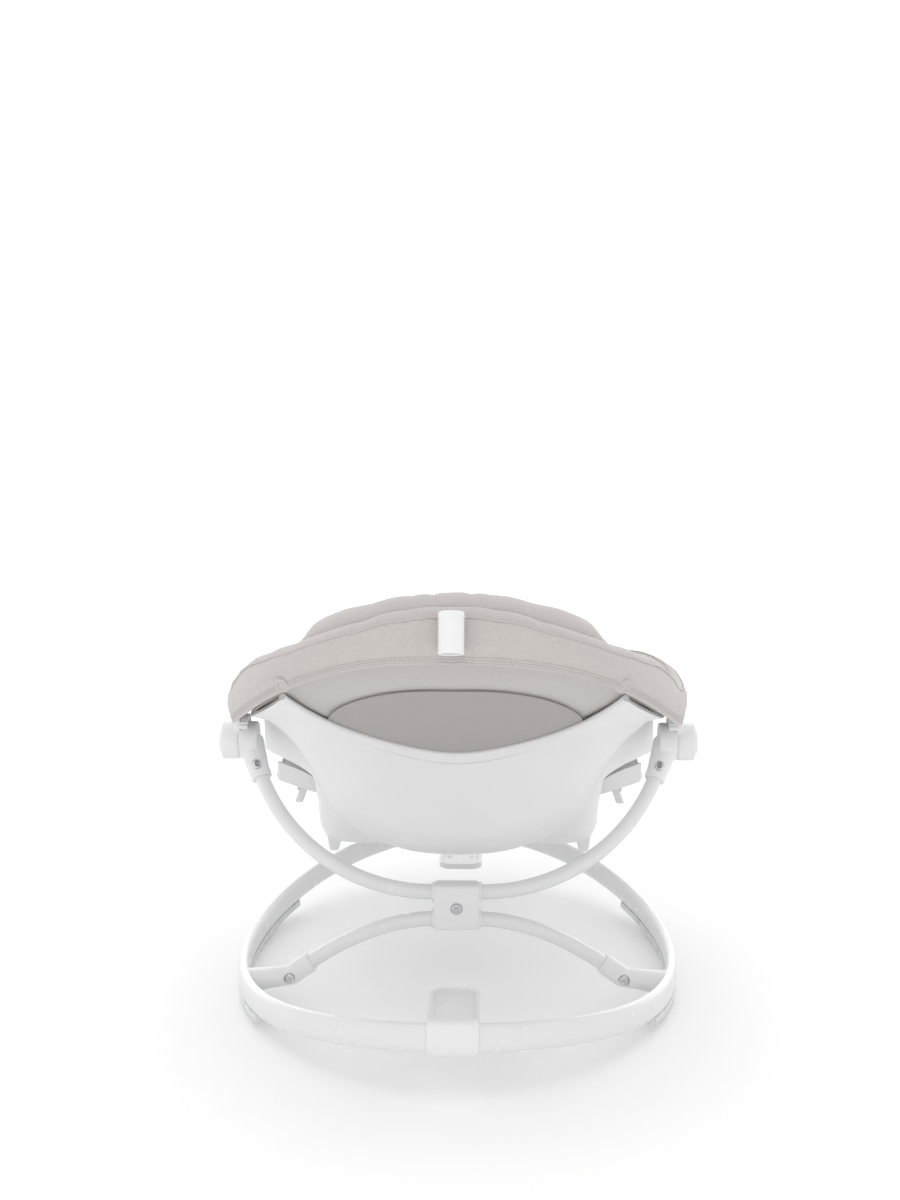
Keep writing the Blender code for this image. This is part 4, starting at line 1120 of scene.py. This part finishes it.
    def shell(self) -> None:
        """Moulded shell: a skin given its thickness, with beads along its edges."""
        shell = wrap_grid("shell", 96, 120, lambda a, b: self.shell_point(a, 2 * b - 1),
                          caps=False)
        pieces = [bevel(thicken(shell, self.shell_thick), 0.0009, 3, 60)]
        for v, radius in ((0.0, 0.0030), (4 / 7, 0.0028)):
            route = [self.shell_point(v, -1 + k / 40) for k in range(81)]
            pieces.append(swept_tube("bead", route, radius))
        groove = [self.shell_point(0.045, -0.97 + 1.94 * k / 80) + Vector((0, -0.0016, 0))
                  for k in range(81)]
        pieces.append(swept_tube("line", groove, 0.0006))
        for side in (-1.0, 1.0):
            foot = add(Primitive.CUBE, "dock_foot", (side * 0.1240, 0.052, 0.1230),
                       (0.022, 0.020, 0.032))
            pick_faces(foot, lambda c, n: n.z < -0.9)
            bpy.ops.transform.resize(value=(0.42, 0.62, 1.0))
            bpy.ops.transform.translate(value=(side * 0.0022, 0, 0))
            bpy.ops.object.mode_set(mode='OBJECT')
            pieces.append(bevel(foot, 0.0026))
        shell = merge("shell", pieces)
        dress(shell, self.finishes.plastic, "seat", "seat_shell", angle=50)

    def foot_panel(self) -> None:
        """Leg support panel with its lever ears and stiffening ribs."""
        def place(a: float, b: float) -> Vector:
            """Point of the panel: a towards the foot, b across."""
            u = 2 * b - 1
            wide = self.panel_wide - 0.050 * a ** 2
            return Vector((u * wide, 0.078 + a * 0.240 + 0.012 * u * u,
                           0.1445 + 0.030 * abs(u) ** 2.2 + 0.040 * a))
        panel = wrap_grid("leg_panel", 40, 48, place, caps=False)
        pieces = [bevel(thicken(panel, self.shell_thick), 0.0010, 3, 60)]
        edge = [place(0.0, k / 60) for k in range(61)] \
            + [place(k / 40, 1.0) for k in range(1, 41)] \
            + [place(1.0, 1 - k / 60) for k in range(1, 61)] \
            + [place(1 - k / 40, 0.0) for k in range(1, 40)]
        pieces.append(swept_tube("edge_bead", edge + edge[:1], 0.0021))
        for side in (-1.0, 1.0):
            pieces.append(self.apron(side))
        for u in (0.2, 0.5, 0.8):
            rib = [place(0.06 + 0.88 * k / 30, u) - Vector((0, 0, 0.001)) for k in range(31)]
            pieces.append(swept_tube("rib", rib, 0.0019))
        for side in (-1.0, 1.0):
            for k in (-1.0, 1.0):
                x = side * self.lever_x + k * 0.0062
                pieces.append(block("ear", (x - 0.0011, 0.0925, 0.158),
                                    (x + 0.0011, 0.0995, 0.1688), 0.0005))
        panel = merge("leg_panel", pieces)
        dress(panel, self.finishes.plastic, "seat", "foot_panel", angle=50)

    def apron(self, side: float) -> bpy.types.Object:
        """Upright wall on the panel's front edge beside the shell."""
        def place(a: float, b: float) -> Vector:
            """Point of the wall: a outwards, b upwards."""
            u = 0.62 + 0.38 * a
            tall = 0.0170 * math.sin(min(a * 1.25, 1.0) * math.pi / 2)
            return Vector((side * self.panel_wide * u, 0.078 + 0.012 * u * u - 0.004 * b,
                           0.1400 + 0.030 * u ** 2.2 + (tall + 0.0035) * b))
        wall = wrap_grid("apron", 30, 8, place, caps=False)
        return bevel(thicken(wall, self.apron_thick), 0.0008, 3, 60)

    def lever(self, name: str, side: float) -> None:
        """Paddle lever of the docking latch."""
        x, y, z = side * self.lever_x, 0.096, 0.1615
        barrel = bar("barrel", (x - 0.0047, y, z), (x + 0.0047, y, z), 0.0031)
        paddle = add(Primitive.CUBE, "paddle", (x, y, z - 0.0085),
                     (0.0086, 0.0042, 0.0170))
        pick_faces(paddle, lambda c, n: n.z < -0.9)
        bpy.ops.transform.translate(value=(side * 0.0060, 0, 0))
        bpy.ops.object.mode_set(mode='OBJECT')
        lever = merge("lever_" + name, [bevel(barrel, 0.0006), bevel(paddle, 0.0019)])
        dress(lever, self.finishes.plastic, "latch_lever_%s_unit" % name,
              "latch_lever_" + name)

    def socket(self) -> None:
        """Open tube on the head rim that takes an accessory bar."""
        apex = PLAN.rim(-1.0, 1.0)
        lean = Vector((0.0, math.sin(math.radians(18)), math.cos(math.radians(18))))
        centre = Vector((0.0, apex.y - PLAN.rim_r - 0.0185, apex.z + 0.005))
        tube = bar("bar_socket", centre - lean * 0.0165, centre + lean * 0.0165, 0.0100,
                   sides=ROUND)
        carve(tube, bar("well", centre - lean * 0.03, centre + lean * 0.011, 0.0078,
                        sides=ROUND))
        bevel(tube, 0.0009, 4)
        post = bar("post", (0, centre.y + 0.006, apex.z + 0.002),
                   (0, apex.y - PLAN.rim_r + 0.002, apex.z + 0.002), 0.0044)
        collar = bar("collar", centre + lean * 0.0118, centre + lean * 0.0138, 0.0104,
                     sides=ROUND)
        tube = merge("bar_socket", [tube, post, bevel(collar, 0.0005)])
        dress(tube, self.finishes.plastic, "seat", "toy_bar_socket")


# --------------------------------------------------------------------- the cover
def ease(x: float, low: float, high: float) -> float:
    """Smooth step of x from low to high."""
    f = min(max((x - low) / (high - low), 0.0), 1.0)
    return f * f * (3 - 2 * f)


def wander(x: float, y: float, z: float, size: float) -> float:
    """Smooth noise from -1 to 1 with features of a size in metres."""
    return noise.noise(Vector((x, y, z)) / size)


def along(stops: Sequence[tuple[float, float]], x: float) -> float:
    """Value at x of a smooth curve through (x, value) stops."""
    for (x0, y0), (x1, y1) in zip(stops, stops[1:]):
        if x <= x1:
            return y0 + (y1 - y0) * ease(x, x0, x1)
    return stops[-1][1]


SEAM_HEIGHTS = ((0.0, 0.0087), (0.42, 0.0090), (0.55, 0.0130), (0.68, 0.0140),
                (0.80, 0.0095), (0.87, 0.0063), (0.93, 0.0062), (0.97, 0.0074),
                (0.995, 0.0125), (1.0, 0.0145))


def seam_height(s: float) -> float:
    """Height of the cover's seam over the rim's centre line."""
    return along(SEAM_HEIGHTS, max(-s, 0.0))


def round_rim(a: float) -> tuple[float, float]:
    """Loop parameter 0..1 to rim position: s along and which side."""
    turn = (a * 4) % 4
    if turn < 1:
        return -math.cos(turn * math.pi / 2), -1.0
    if turn < 2:
        return math.sin((turn - 1) * math.pi / 2), -1.0
    if turn < 3:
        return math.cos((turn - 2) * math.pi / 2), 1.0
    return -math.sin((turn - 3) * math.pi / 2), 1.0


def beside_rim(a: float, out: float, up: float) -> Vector:
    """Point beside the rim: out and up from its centre line, in metres."""
    s, side = round_rim(a)
    return PLAN.rim(s, side, out) + Vector((0.0, 0.0, up))


@dataclass
class Cover:
    """Fabric cover: hanging skirt over the rim, sling inside it, hem and snaps."""

    finishes: Finishes
    hem: float = -0.0222
    seam_out: float = 0.0112
    seam_up: float = 0.0150
    hem_rows: Outline = ((-0.0192, 0.01075), (-0.0168, 0.01145))
    sling_thick: float = 0.0016
    panel_thick: float = 0.0012
    section_mm: Outline = (
        (9.6, -22.2), (10.8, -19.0), (12.4, -12.0), (13.3, -5.0), (13.5, 1.0), (13.1, 7.0),
        (12.2, 12.0), (10.9, 15.0), (9.4, 17.4), (6.0, 20.2), (0.5, 21.6), (-5.0, 20.0),
        (-9.5, 14.5), (-11.8, 7.0), (-12.2, -2.0), (-12.4, -14.0), (-11.2, -14.0),
        (-11.0, -2.0), (-10.6, 6.2), (-8.5, 13.4), (-4.4, 18.4), (0.5, 20.0), (5.3, 18.7),
        (8.4, 16.2), (9.7, 13.6), (11.0, 10.5), (11.8, 6.2), (12.2, 1.0), (12.0, -5.0),
        (11.1, -12.0), (9.6, -18.6), (8.7, -22.0))

    def build(self) -> None:
        """Model and dress every piece of the cover."""
        self.skirt()
        self.trims()
        self.sling()
        for name, side in SIDES:
            self.snap(name, side)

    def skirt_point(self, a: float, out: float, up: float) -> Vector:
        """Point of the skirt with its soft waves and the puckers at the socket."""
        s, side = round_rim(a)
        base = PLAN.rim(s, side)
        tight = 1 - ease(-s, 0.42, 0.74)
        if out > 0:
            out -= tight * (0.0034 + 0.0012 * ease(up, 0.0, 0.012))
        if up > 0:
            full = self.seam_up
            up = min(up, full) * seam_height(s) / full + max(up - full, 0.0)
        slack = ease(-up, -0.010, 0.020)
        wave = wander(base.x, base.y, up * 0.4, 0.055) * 0.0013 * slack
        wave += wander(base.x + 3, base.y, up, 0.016) * 0.0004
        fold = math.exp(-((up + 0.006) / 0.006) ** 2) * 0.0007
        fold *= 1 + 0.6 * wander(base.x, base.y + 7, 0.0, 0.04)
        near = math.exp(-(abs(base.x) / 0.026) ** 2) * (1.0 if s < -0.9 else 0.0)
        angle = math.atan2(up - 0.002, abs(base.x) + 0.004)
        pucker = near * 0.0016 * math.sin(angle * 7.0) * ease(math.hypot(base.x, up), 0.0,
                                                              0.014)
        lift = 0.0012 * wander(base.x, base.y + 2, 0.0, 0.06) * ease(-up, 0.012, 0.020)
        return beside_rim(a, out + wave + fold + pucker - near * 0.0012, up + lift)

    def skirt(self) -> None:
        """Skirt folded over the rim, one closed band."""
        loop = [(o / 1000, u / 1000, 0.0) for o, u in self.section_mm]
        loop.append(loop[0])

        def place(a: float, b: float) -> Vector:
            """Point of the band: a round the rim, b round its section."""
            out, up, _ = catmull(loop, b)
            return self.skirt_point(a, out, up)
        skirt = wrap_grid("skirt", 520, 84, place, caps=False)
        apex = PLAN.rim(-1.0, 1.0)
        dress(skirt, self.finishes.cover, "seat", "cover_skirt", angle=CLOTH_ANGLE)
        stations = [beside_rim(k / 200, 0.012, 0) for k in range(201)]
        length = sum((b - a).length for a, b in zip(stations, stations[1:]))
        LOG.info("skirt loop %.3f m, apex at %.3f", length, apex.y)

    def trims(self) -> None:
        """Seam piping, turned hem and two rows of hem stitches."""
        around = 400
        seam = [self.skirt_point(k / around, self.seam_out + 0.0003, self.seam_up)
                for k in range(around + 1)]
        piping = swept_tube("seam_piping", seam, 0.0008, 3)
        dress(piping, self.finishes.cover, "seat", slot="cover_skirt", angle=CLOTH_ANGLE)
        hem = [self.skirt_point(k / around, 0.0092, self.hem + 0.0002)
               for k in range(around + 1)]
        turned = swept_tube("hem_roll", hem, 0.0013, 3)
        dress(turned, self.finishes.cover, "seat", slot="cover_skirt", angle=CLOTH_ANGLE)
        rows = []
        for up, out in self.hem_rows:
            row = [self.skirt_point(k / around, out + 0.0003, up) for k in range(around + 1)]
            rows.append(stitches("hem_stitch", row, 0.00024, 0.0026, 0.0011))
        dress(merge("stitching", rows), self.finishes.cover, "seat", slot="cover_skirt",
              angle=CLOTH_ANGLE)

    def sling(self) -> None:
        """Sling cloth under the padding, with an oval panel sewn below it."""
        inset = PLAN.rim_r + 0.0030

        def under(a: float, b: float) -> Vector:
            """Point of the cloth: a towards the foot, b across."""
            s = -math.cos(a * math.pi) * 0.985
            point = PLAN.sling(s, 2 * b - 1, inset, 0.0)
            point.z += 0.0010 * wander(point.x, point.y, 0.0, 0.05)
            return point
        cloth = wrap_grid("sling", 150, 80, under, caps=False)
        dress(thicken(cloth, self.sling_thick), self.finishes.lining, "seat", "sling_cover",
              angle=CLOTH_ANGLE)
        self.panel_with_painted_shade(inset)

    def panel_with_painted_shade(self, inset: float) -> None:
        """Oval panel on the underside with its sewn edge; its darker colour is painted shade."""
        def spot(angle: float, r: float) -> Vector:
            """Point under the sling: angle round the oval, r outwards."""
            c, t = math.cos(angle), math.sin(angle)
            y = -0.065 - 0.232 * r * math.copysign(abs(c) ** 0.62, c)
            x = 0.118 * r * math.copysign(abs(t) ** 0.90, t)
            length = PLAN.rim_head if y < 0 else PLAN.rim_foot
            s = y / (length - inset)
            wide = max(PLAN.rim(s, 1.0).x - inset, 0.01)
            point = PLAN.sling(s, min(max(x / wide, -1), 1), inset, -0.0020)
            return point
        panel = wrap_grid("panel_with_painted_shade", 120, 40, lambda a, b: spot(a * FULL_TURN, b),
                          caps=False)
        # The panel is real; its darker material is painted shade.
        dress(thicken(panel, self.panel_thick), self.finishes.panel, "seat", slot="sling_cover",
              angle=CLOTH_ANGLE)
        # The edge bead and seam share the same dark cloth, which is painted shade.
        for name, r, radius in (("panel_edge", 1.0, 0.0007), ("panel_seam", 1.02, 0.0003)):
            route = [spot(k / 160 * FULL_TURN, r) - Vector((0, 0, 0.0006))
                     for k in range(161)]
            dress(swept_tube(name, route, radius, 3), self.finishes.panel, "seat",
                  slot="sling_cover", angle=CLOTH_ANGLE)

    def snap(self, name: str, side: float) -> None:
        """Fabric-covered snap on the skirt."""
        out = Vector((side * 0.35, -0.80, -0.45)).normalized()
        base = PLAN.rim(-0.845, side, 0.0105) - Vector((0, 0, 0.0175))
        stud = bar("snap_stud_" + name, base - out * 0.001, base + out * 0.0028, 0.0068)
        bevel(stud, 0.0013, 4)
        dimple = bar("dimple", base + out * 0.0020, base + out * 0.006, 0.0042)
        carve(stud, dimple)
        dress(bevel(stud, 0.0004, 2), self.finishes.cover, "seat", "snap_" + name)


# --------------------------------------------------------------------- soft goods
@dataclass
class Inlay:
    """Padded newborn inlay in the sling, puffed up over the rim at the head."""

    finishes: Finishes
    lift: float = 0.0055
    border: float = 0.90
    bulge: Outline = ((0.0, 0.0035), (0.60, 0.0038), (0.72, 0.0045), (0.80, 0.0068),
                      (0.84, 0.0135), (0.88, 0.0215), (0.93, 0.0215), (0.97, 0.0185),
                      (1.0, 0.0150))
    seam_at: float = 0.74
    channels: tuple[float, ...] = (-0.118, 0.060, 0.170)

    def bed(self, x: float, y: float) -> float:
        """Height of the sling under the inlay."""
        length = (PLAN.rim_head if y < 0 else PLAN.rim_foot) - 0.010
        s = min(max(y / length, -1.0), 1.0)
        wide = max(PLAN.rim(s, 1.0).x - 0.010, 0.004)
        return PLAN.sling(s, min(abs(x) / wide, 1.0), 0.010, 0.0).z + self.lift

    def spot(self, a: float, r: float) -> Vector:
        """Place in plan: a round the rim, r from the spine to the border."""
        s, side = round_rim(a)
        head = ease(-s, 0.66, 0.90)
        edge = PLAN.rim(s, side, -0.018 + 0.0150 * head)
        spine = edge.y * 0.52
        return Vector((edge.x * r, spine + (edge.y - spine) * r, 0.0))

    def surface(self, a: float, r: float, top: bool) -> Vector:
        """Point of the inlay's top or bottom skin."""
        s, side = round_rim(a)
        head = ease(-s, 0.66, 0.90)
        point = self.spot(a, r)
        rim = PLAN.rim(s, side)
        over = ease(r, 0.84, 0.95) * head
        seam = rim.z + seam_height(s)
        low = self.bed(point.x, point.y) * (1 - over) + (seam + 0.0035) * over
        if not top:
            return Vector((point.x, point.y, low))
        crest = seam + along(self.bulge, max(-s, 0.0))
        middle = 0.015 + 0.007 * head * (1 - r ** 2)
        high = low + middle
        if r > self.border:
            f = (r - self.border) / (1 - self.border)
            peak = max(crest, low + 0.006) * head + (low + 0.007) * (1 - head)
            high = low + (peak - low) * math.sqrt(max(1 - f * f, 0.0))
        else:
            near = ease(r, 0.66, self.border)
            peak = crest * head + (low + 0.007) * (1 - head)
            high = high * (1 - near) + max(peak, low + 0.006) * near
            valley = math.exp(-((r - self.seam_at) / 0.022) ** 2) * 0.0050
            high -= valley
            high -= self.quilt(point.x, point.y) * ease(0.72 - r, 0.0, 0.06)
        high += 0.0016 * wander(point.x, point.y, 0.3, 0.05) * (1 - r ** 8)
        notch = math.exp(-((abs(point.x) - 0.016) / 0.004) ** 2)
        if s < -0.9:
            high -= 0.0018 * notch * ease(r, 0.7, 0.9) * math.sqrt(max(1 - r ** 16, 0))
        return Vector((point.x, point.y, max(high, low + 0.0002)))

    def quilt(self, x: float, y: float) -> float:
        """Depth of the sewn channels across the inlay."""
        depth = 0.0
        for line in self.channels:
            depth += math.exp(-((y - line - 0.10 * x * x / 0.02) / 0.0045) ** 2)
        return depth * 0.0048

    def build(self) -> None:
        """Model, puff up and dress the inlay."""
        def place(a: float, b: float) -> Vector:
            """Point of the inlay: a round it, b from top to bottom."""
            if b <= 0.5:
                return self.surface(a, math.sin(b * math.pi), True)
            return self.surface(a, math.sin((1 - b) * math.pi), False)
        pad = wrap_grid("inlay", 360, 150, place, caps=False)
        dress(pad, self.finishes.cover, "seat", "seat_pad", angle=CLOTH_ANGLE)
        route = [self.surface(k / 300, self.seam_at, True) + Vector((0, 0, 0.0008))
                 for k in range(301)]
        line = stitches("inlay_stitch", route, 0.0004, 0.003, 0.0012)
        dress(line, self.finishes.thread, "seat", slot="seat_pad", angle=CLOTH_ANGLE)


@dataclass
class Pillow:
    """Head cushion with a hollow in its middle."""

    finishes: Finishes
    inlay: Inlay
    centre_y: float = -0.225
    half_wide: float = 0.100
    half_long: float = 0.062
    most_puff: float = 0.005
    puff_steps: int = 14

    def build(self) -> None:
        """Model, puff up and dress the cushion."""
        def place(a: float, b: float) -> Vector:
            """Point of the cushion: a round it, b from top to bottom."""
            angle = a * FULL_TURN
            q = b * math.pi
            r = math.sin(q)
            x = self.half_wide * r * math.copysign(abs(math.cos(angle)) ** 0.8,
                                                   math.cos(angle))
            y = self.centre_y + self.half_long * r * math.copysign(
                abs(math.sin(angle)) ** 0.8, math.sin(angle)) * (1 - 0.1 * (x / 0.1) ** 2)
            bed = self.inlay.bed(x, y) + 0.0205
            hollow = math.exp(-(r / 0.42) ** 2)
            tall = 0.017 * (1 - 0.55 * hollow) * math.copysign(abs(math.cos(q)) ** 0.6,
                                                               math.cos(q))
            up = tall if tall > 0 else tall * 0.35
            return Vector((x, y, bed + 0.008 + up))
        cushion = wrap_grid("pillow", 120, 60, place, caps=False)
        self.puff(cushion)
        dress(cushion, self.finishes.lining, "seat", "head_pillow", angle=CLOTH_ANGLE)
        ring = [place(k / 120, 0.5) + Vector((0, 0, 0.0004)) for k in range(121)]
        dress(swept_tube("pillow_piping", ring, 0.0012, 3), self.finishes.thread, "seat",
              slot="head_pillow", angle=CLOTH_ANGLE)

    def puff(self, obj: bpy.types.Object) -> None:
        """Blow the cushion up a little as cloth, then round it off."""
        mod = obj.modifiers.new("even", 'REMESH')
        mod.mode = 'VOXEL'
        mod.voxel_size = 0.004
        apply_modifiers(obj)
        cloth = obj.modifiers.new("cloth", 'CLOTH')
        cloth.settings.use_pressure = True
        cloth.settings.uniform_pressure_force = 2.5
        cloth.settings.effector_weights.gravity = 0.0
        rest = [v.co.copy() for v in obj.data.vertices]
        for step in range(1, self.puff_steps + 1):
            bpy.context.scene.frame_set(step)
        apply_modifiers(obj)
        bpy.context.scene.frame_set(1)
        for vertex, start in zip(obj.data.vertices, rest):
            move = vertex.co - start
            if move.length > self.most_puff:
                vertex.co = start + move.normalized() * self.most_puff
        even = obj.modifiers.new("round", 'SUBSURF')
        even.levels = even.render_levels = 1
        apply_modifiers(obj)


@dataclass
class Harness:
    """Crotch strap, waist straps and buckle."""

    finishes: Finishes
    inlay: Inlay
    buckle_y: float = 0.020
    crotch_wide: float = 0.034
    waist_wide: float = 0.025
    stations: tuple[float, ...] = (0, 0.2, 0.4, 0.6, 0.8, 1.0)

    def top(self, x: float, y: float) -> float:
        """Height of the inlay's face."""
        return self.inlay.bed(x, y) + 0.0165

    def strap(self, name: str, stations: Sequence[Vector], width: float, thick: float,
              across: Sequence[float]) -> bpy.types.Object:
        """Webbing with rounded selvedges along stations."""
        flat_way = Vector(across)

        def place(a: float, b: float) -> Vector:
            """Point of the strap: a along it, b around."""
            point = catmull(stations, a)
            run = (catmull(stations, a + 0.01) - catmull(stations, a - 0.01)).normalized()
            flat = (flat_way - run * flat_way.dot(run)).normalized()
            up = run.cross(flat)
            angle = b * FULL_TURN
            c, s = math.cos(angle), math.sin(angle)
            return point + flat * width / 2 * math.copysign(abs(c) ** 0.25, c) \
                + up * thick / 2 * math.copysign(abs(s) ** 0.5, s)
        return wrap_grid(name, 60, 28, place)

    def build(self) -> None:
        """Model and dress every piece of the harness."""
        y0 = self.buckle_y
        base = self.top(0, y0) + 0.010
        crotch = [Vector((0, 0.125 - f * (0.125 - y0 - 0.018),
                          self.top(0, 0.125 - f * 0.08) + 0.002 + 0.009 * f))
                  for f in self.stations]
        strap = self.strap("crotch_webbing", crotch, self.crotch_wide, 0.0022, (1, 0, 0))
        dress(strap, self.finishes.webbing, "seat", "crotch_strap")
        body = block("buckle", (-0.026, y0 - 0.020, base), (0.026, y0 + 0.022, base + 0.013),
                     0.0042)
        carve(body, bar("well", (0, y0, base + 0.006), (0, y0, base + 0.03), 0.0088))
        for side in (-1.0, 1.0):
            carve(body, block("slot", (min(side * 0.013, side * 0.04), y0 - 0.0105,
                                       base + 0.003),
                              (max(side * 0.013, side * 0.04), y0 + 0.0105, base + 0.007)))
        dress(bevel(body, 0.0005, 2), self.finishes.grey, "seat", "buckle_body")
        button = bar("buckle_knob", (0, y0, base + 0.0092), (0, y0, base + 0.0150), 0.0083,
                     0.0078)
        dress(bevel(button, 0.0012), self.finishes.plastic, "buckle_button_unit",
              "buckle_button")
        for name, side in SIDES:
            x0, x1 = sorted((side * 0.014, side * 0.040))
            tongue = block("tongue_" + name, (x0, y0 - 0.010, base + 0.0034),
                           (x1, y0 + 0.010, base + 0.0066), 0.0008)
            x0, x1 = sorted((side * 0.027, side * 0.042))
            wing = block("wing", (x0, y0 - 0.015, base + 0.002),
                         (x1, y0 + 0.015, base + 0.0085), 0.0016)
            dress(merge("tongue_" + name, [tongue, wing]), self.finishes.grey, "seat",
                  "strap_tongue_" + name)
            belt = []
            for f in self.stations:
                x, y = 0.0400 + f * 0.103, y0 - 0.030 * f * f
                height = max(self.top(x, y) + 0.0022, base + 0.005 * (1 - f))
                belt.append(Vector((side * x, y, height)))
            strap = self.strap("waist_webbing_" + name, belt, self.waist_wide, 0.0020,
                               (0, 1, 0))
            dress(strap, self.finishes.webbing_long, "seat", "waist_strap_" + name)


# ------------------------------------------------------------------------ studio
@dataclass
class Studio:
    """Pale floor, soft light and the camera."""

    lens: float = 58.5
    place: tuple[float, float, float] = (0.0258, -1.8598, 0.6645)
    tilt: float = 81.05
    turn: float = 1.04

    def build(self) -> None:
        """Set the floor, the lights, the world and the camera."""
        self.floor()
        world = bpy.data.worlds.new("soft_white")
        bpy.context.scene.world = world
        world.use_nodes = True
        back = world.node_tree.nodes["Background"]
        back.inputs["Color"].default_value = (1.0, 1.0, 1.0, 1.0)
        back.inputs["Strength"].default_value = 0.92
        self.lamp("top", (-0.4, -0.5, 3.0), 2.4, 7.0)
        self.lamp("front", (-0.4, -2.6, 2.0), 2.2, 8.0)
        self.lamp("rear", (0.4, 2.6, 1.8), 2.0, 1.0)
        self.camera()
        scene = bpy.context.scene
        scene.view_settings.view_transform = 'Standard'
        scene.view_settings.look = 'None'
        scene.view_settings.exposure = 0.0

    def floor(self) -> None:
        """White floor that glows more the further away, and a white backdrop."""
        deselect()
        bpy.ops.mesh.primitive_plane_add(size=30.0, location=(0, 0, 0))
        floor = bpy.context.object
        floor.name = "floor"
        look = Nodes("floor_white", (0.86, 0.86, 0.86), 0.9)
        look.set("Specular IOR Level", 0.1)
        look.set("Emission Color", (1.0, 1.0, 1.0, 1.0))
        far = look.tree.nodes.new("ShaderNodeTexGradient")
        far.gradient_type = 'SPHERICAL'
        look.tree.links.new(look.mapped((0.45, 0.45, 0.45)), far.inputs["Vector"])
        look.feed(look.span(far.outputs["Fac"], 0.45, 0.02), "Emission Strength")
        floor.data.materials.append(look.mat)
        bpy.ops.mesh.primitive_plane_add(size=30.0, location=(0, 12.0, 0),
                                         rotation=(math.pi / 2, 0, 0))
        wall = settle(bpy.context.object)
        wall.name = "backdrop"
        paper = Nodes("backdrop_white", (0.9, 0.9, 0.9), 0.9)
        paper.set("Emission Color", (1.0, 1.0, 1.0, 1.0))
        paper.set("Emission Strength", 1.1)
        wall.data.materials.append(paper.mat)

    def lamp(self, name: str, place: Sequence[float], size: float, power: float) -> None:
        """Square area light that looks at the seat."""
        light = bpy.data.lights.new(name, 'AREA')
        light.size = size
        light.energy = power
        obj = bpy.data.objects.new(name, light)
        bpy.context.scene.collection.objects.link(obj)
        obj.location = place
        look = Vector((0, 0, 0.2)) - Vector(place)
        obj.rotation_euler = look.to_track_quat('-Z', 'Y').to_euler()

    def camera(self) -> None:
        """Camera at the low view from the head end."""
        data = bpy.data.cameras.new("camera")
        data.lens = self.lens
        data.sensor_fit = 'VERTICAL'
        data.sensor_height = 36.0
        camera = bpy.data.objects.new("camera", data)
        bpy.context.scene.collection.objects.link(camera)
        camera.location = self.place
        camera.rotation_euler = (math.radians(self.tilt), 0.0, math.radians(self.turn))
        bpy.context.scene.camera = camera


def main() -> None:
    """Build the seat from the floor up."""
    logging.basicConfig(level=logging.INFO, format="%(message)s")
    finishes = Finishes()
    RockerBase(finishes).build()
    Yoke(finishes).build()
    SeatFrame(finishes).build()
    Cover(finishes).build()
    inlay = Inlay(finishes)
    inlay.build()
    Pillow(finishes, inlay).build()
    Harness(finishes, inlay).build()
    Studio().build()


if __name__ == "__main__":
    main()
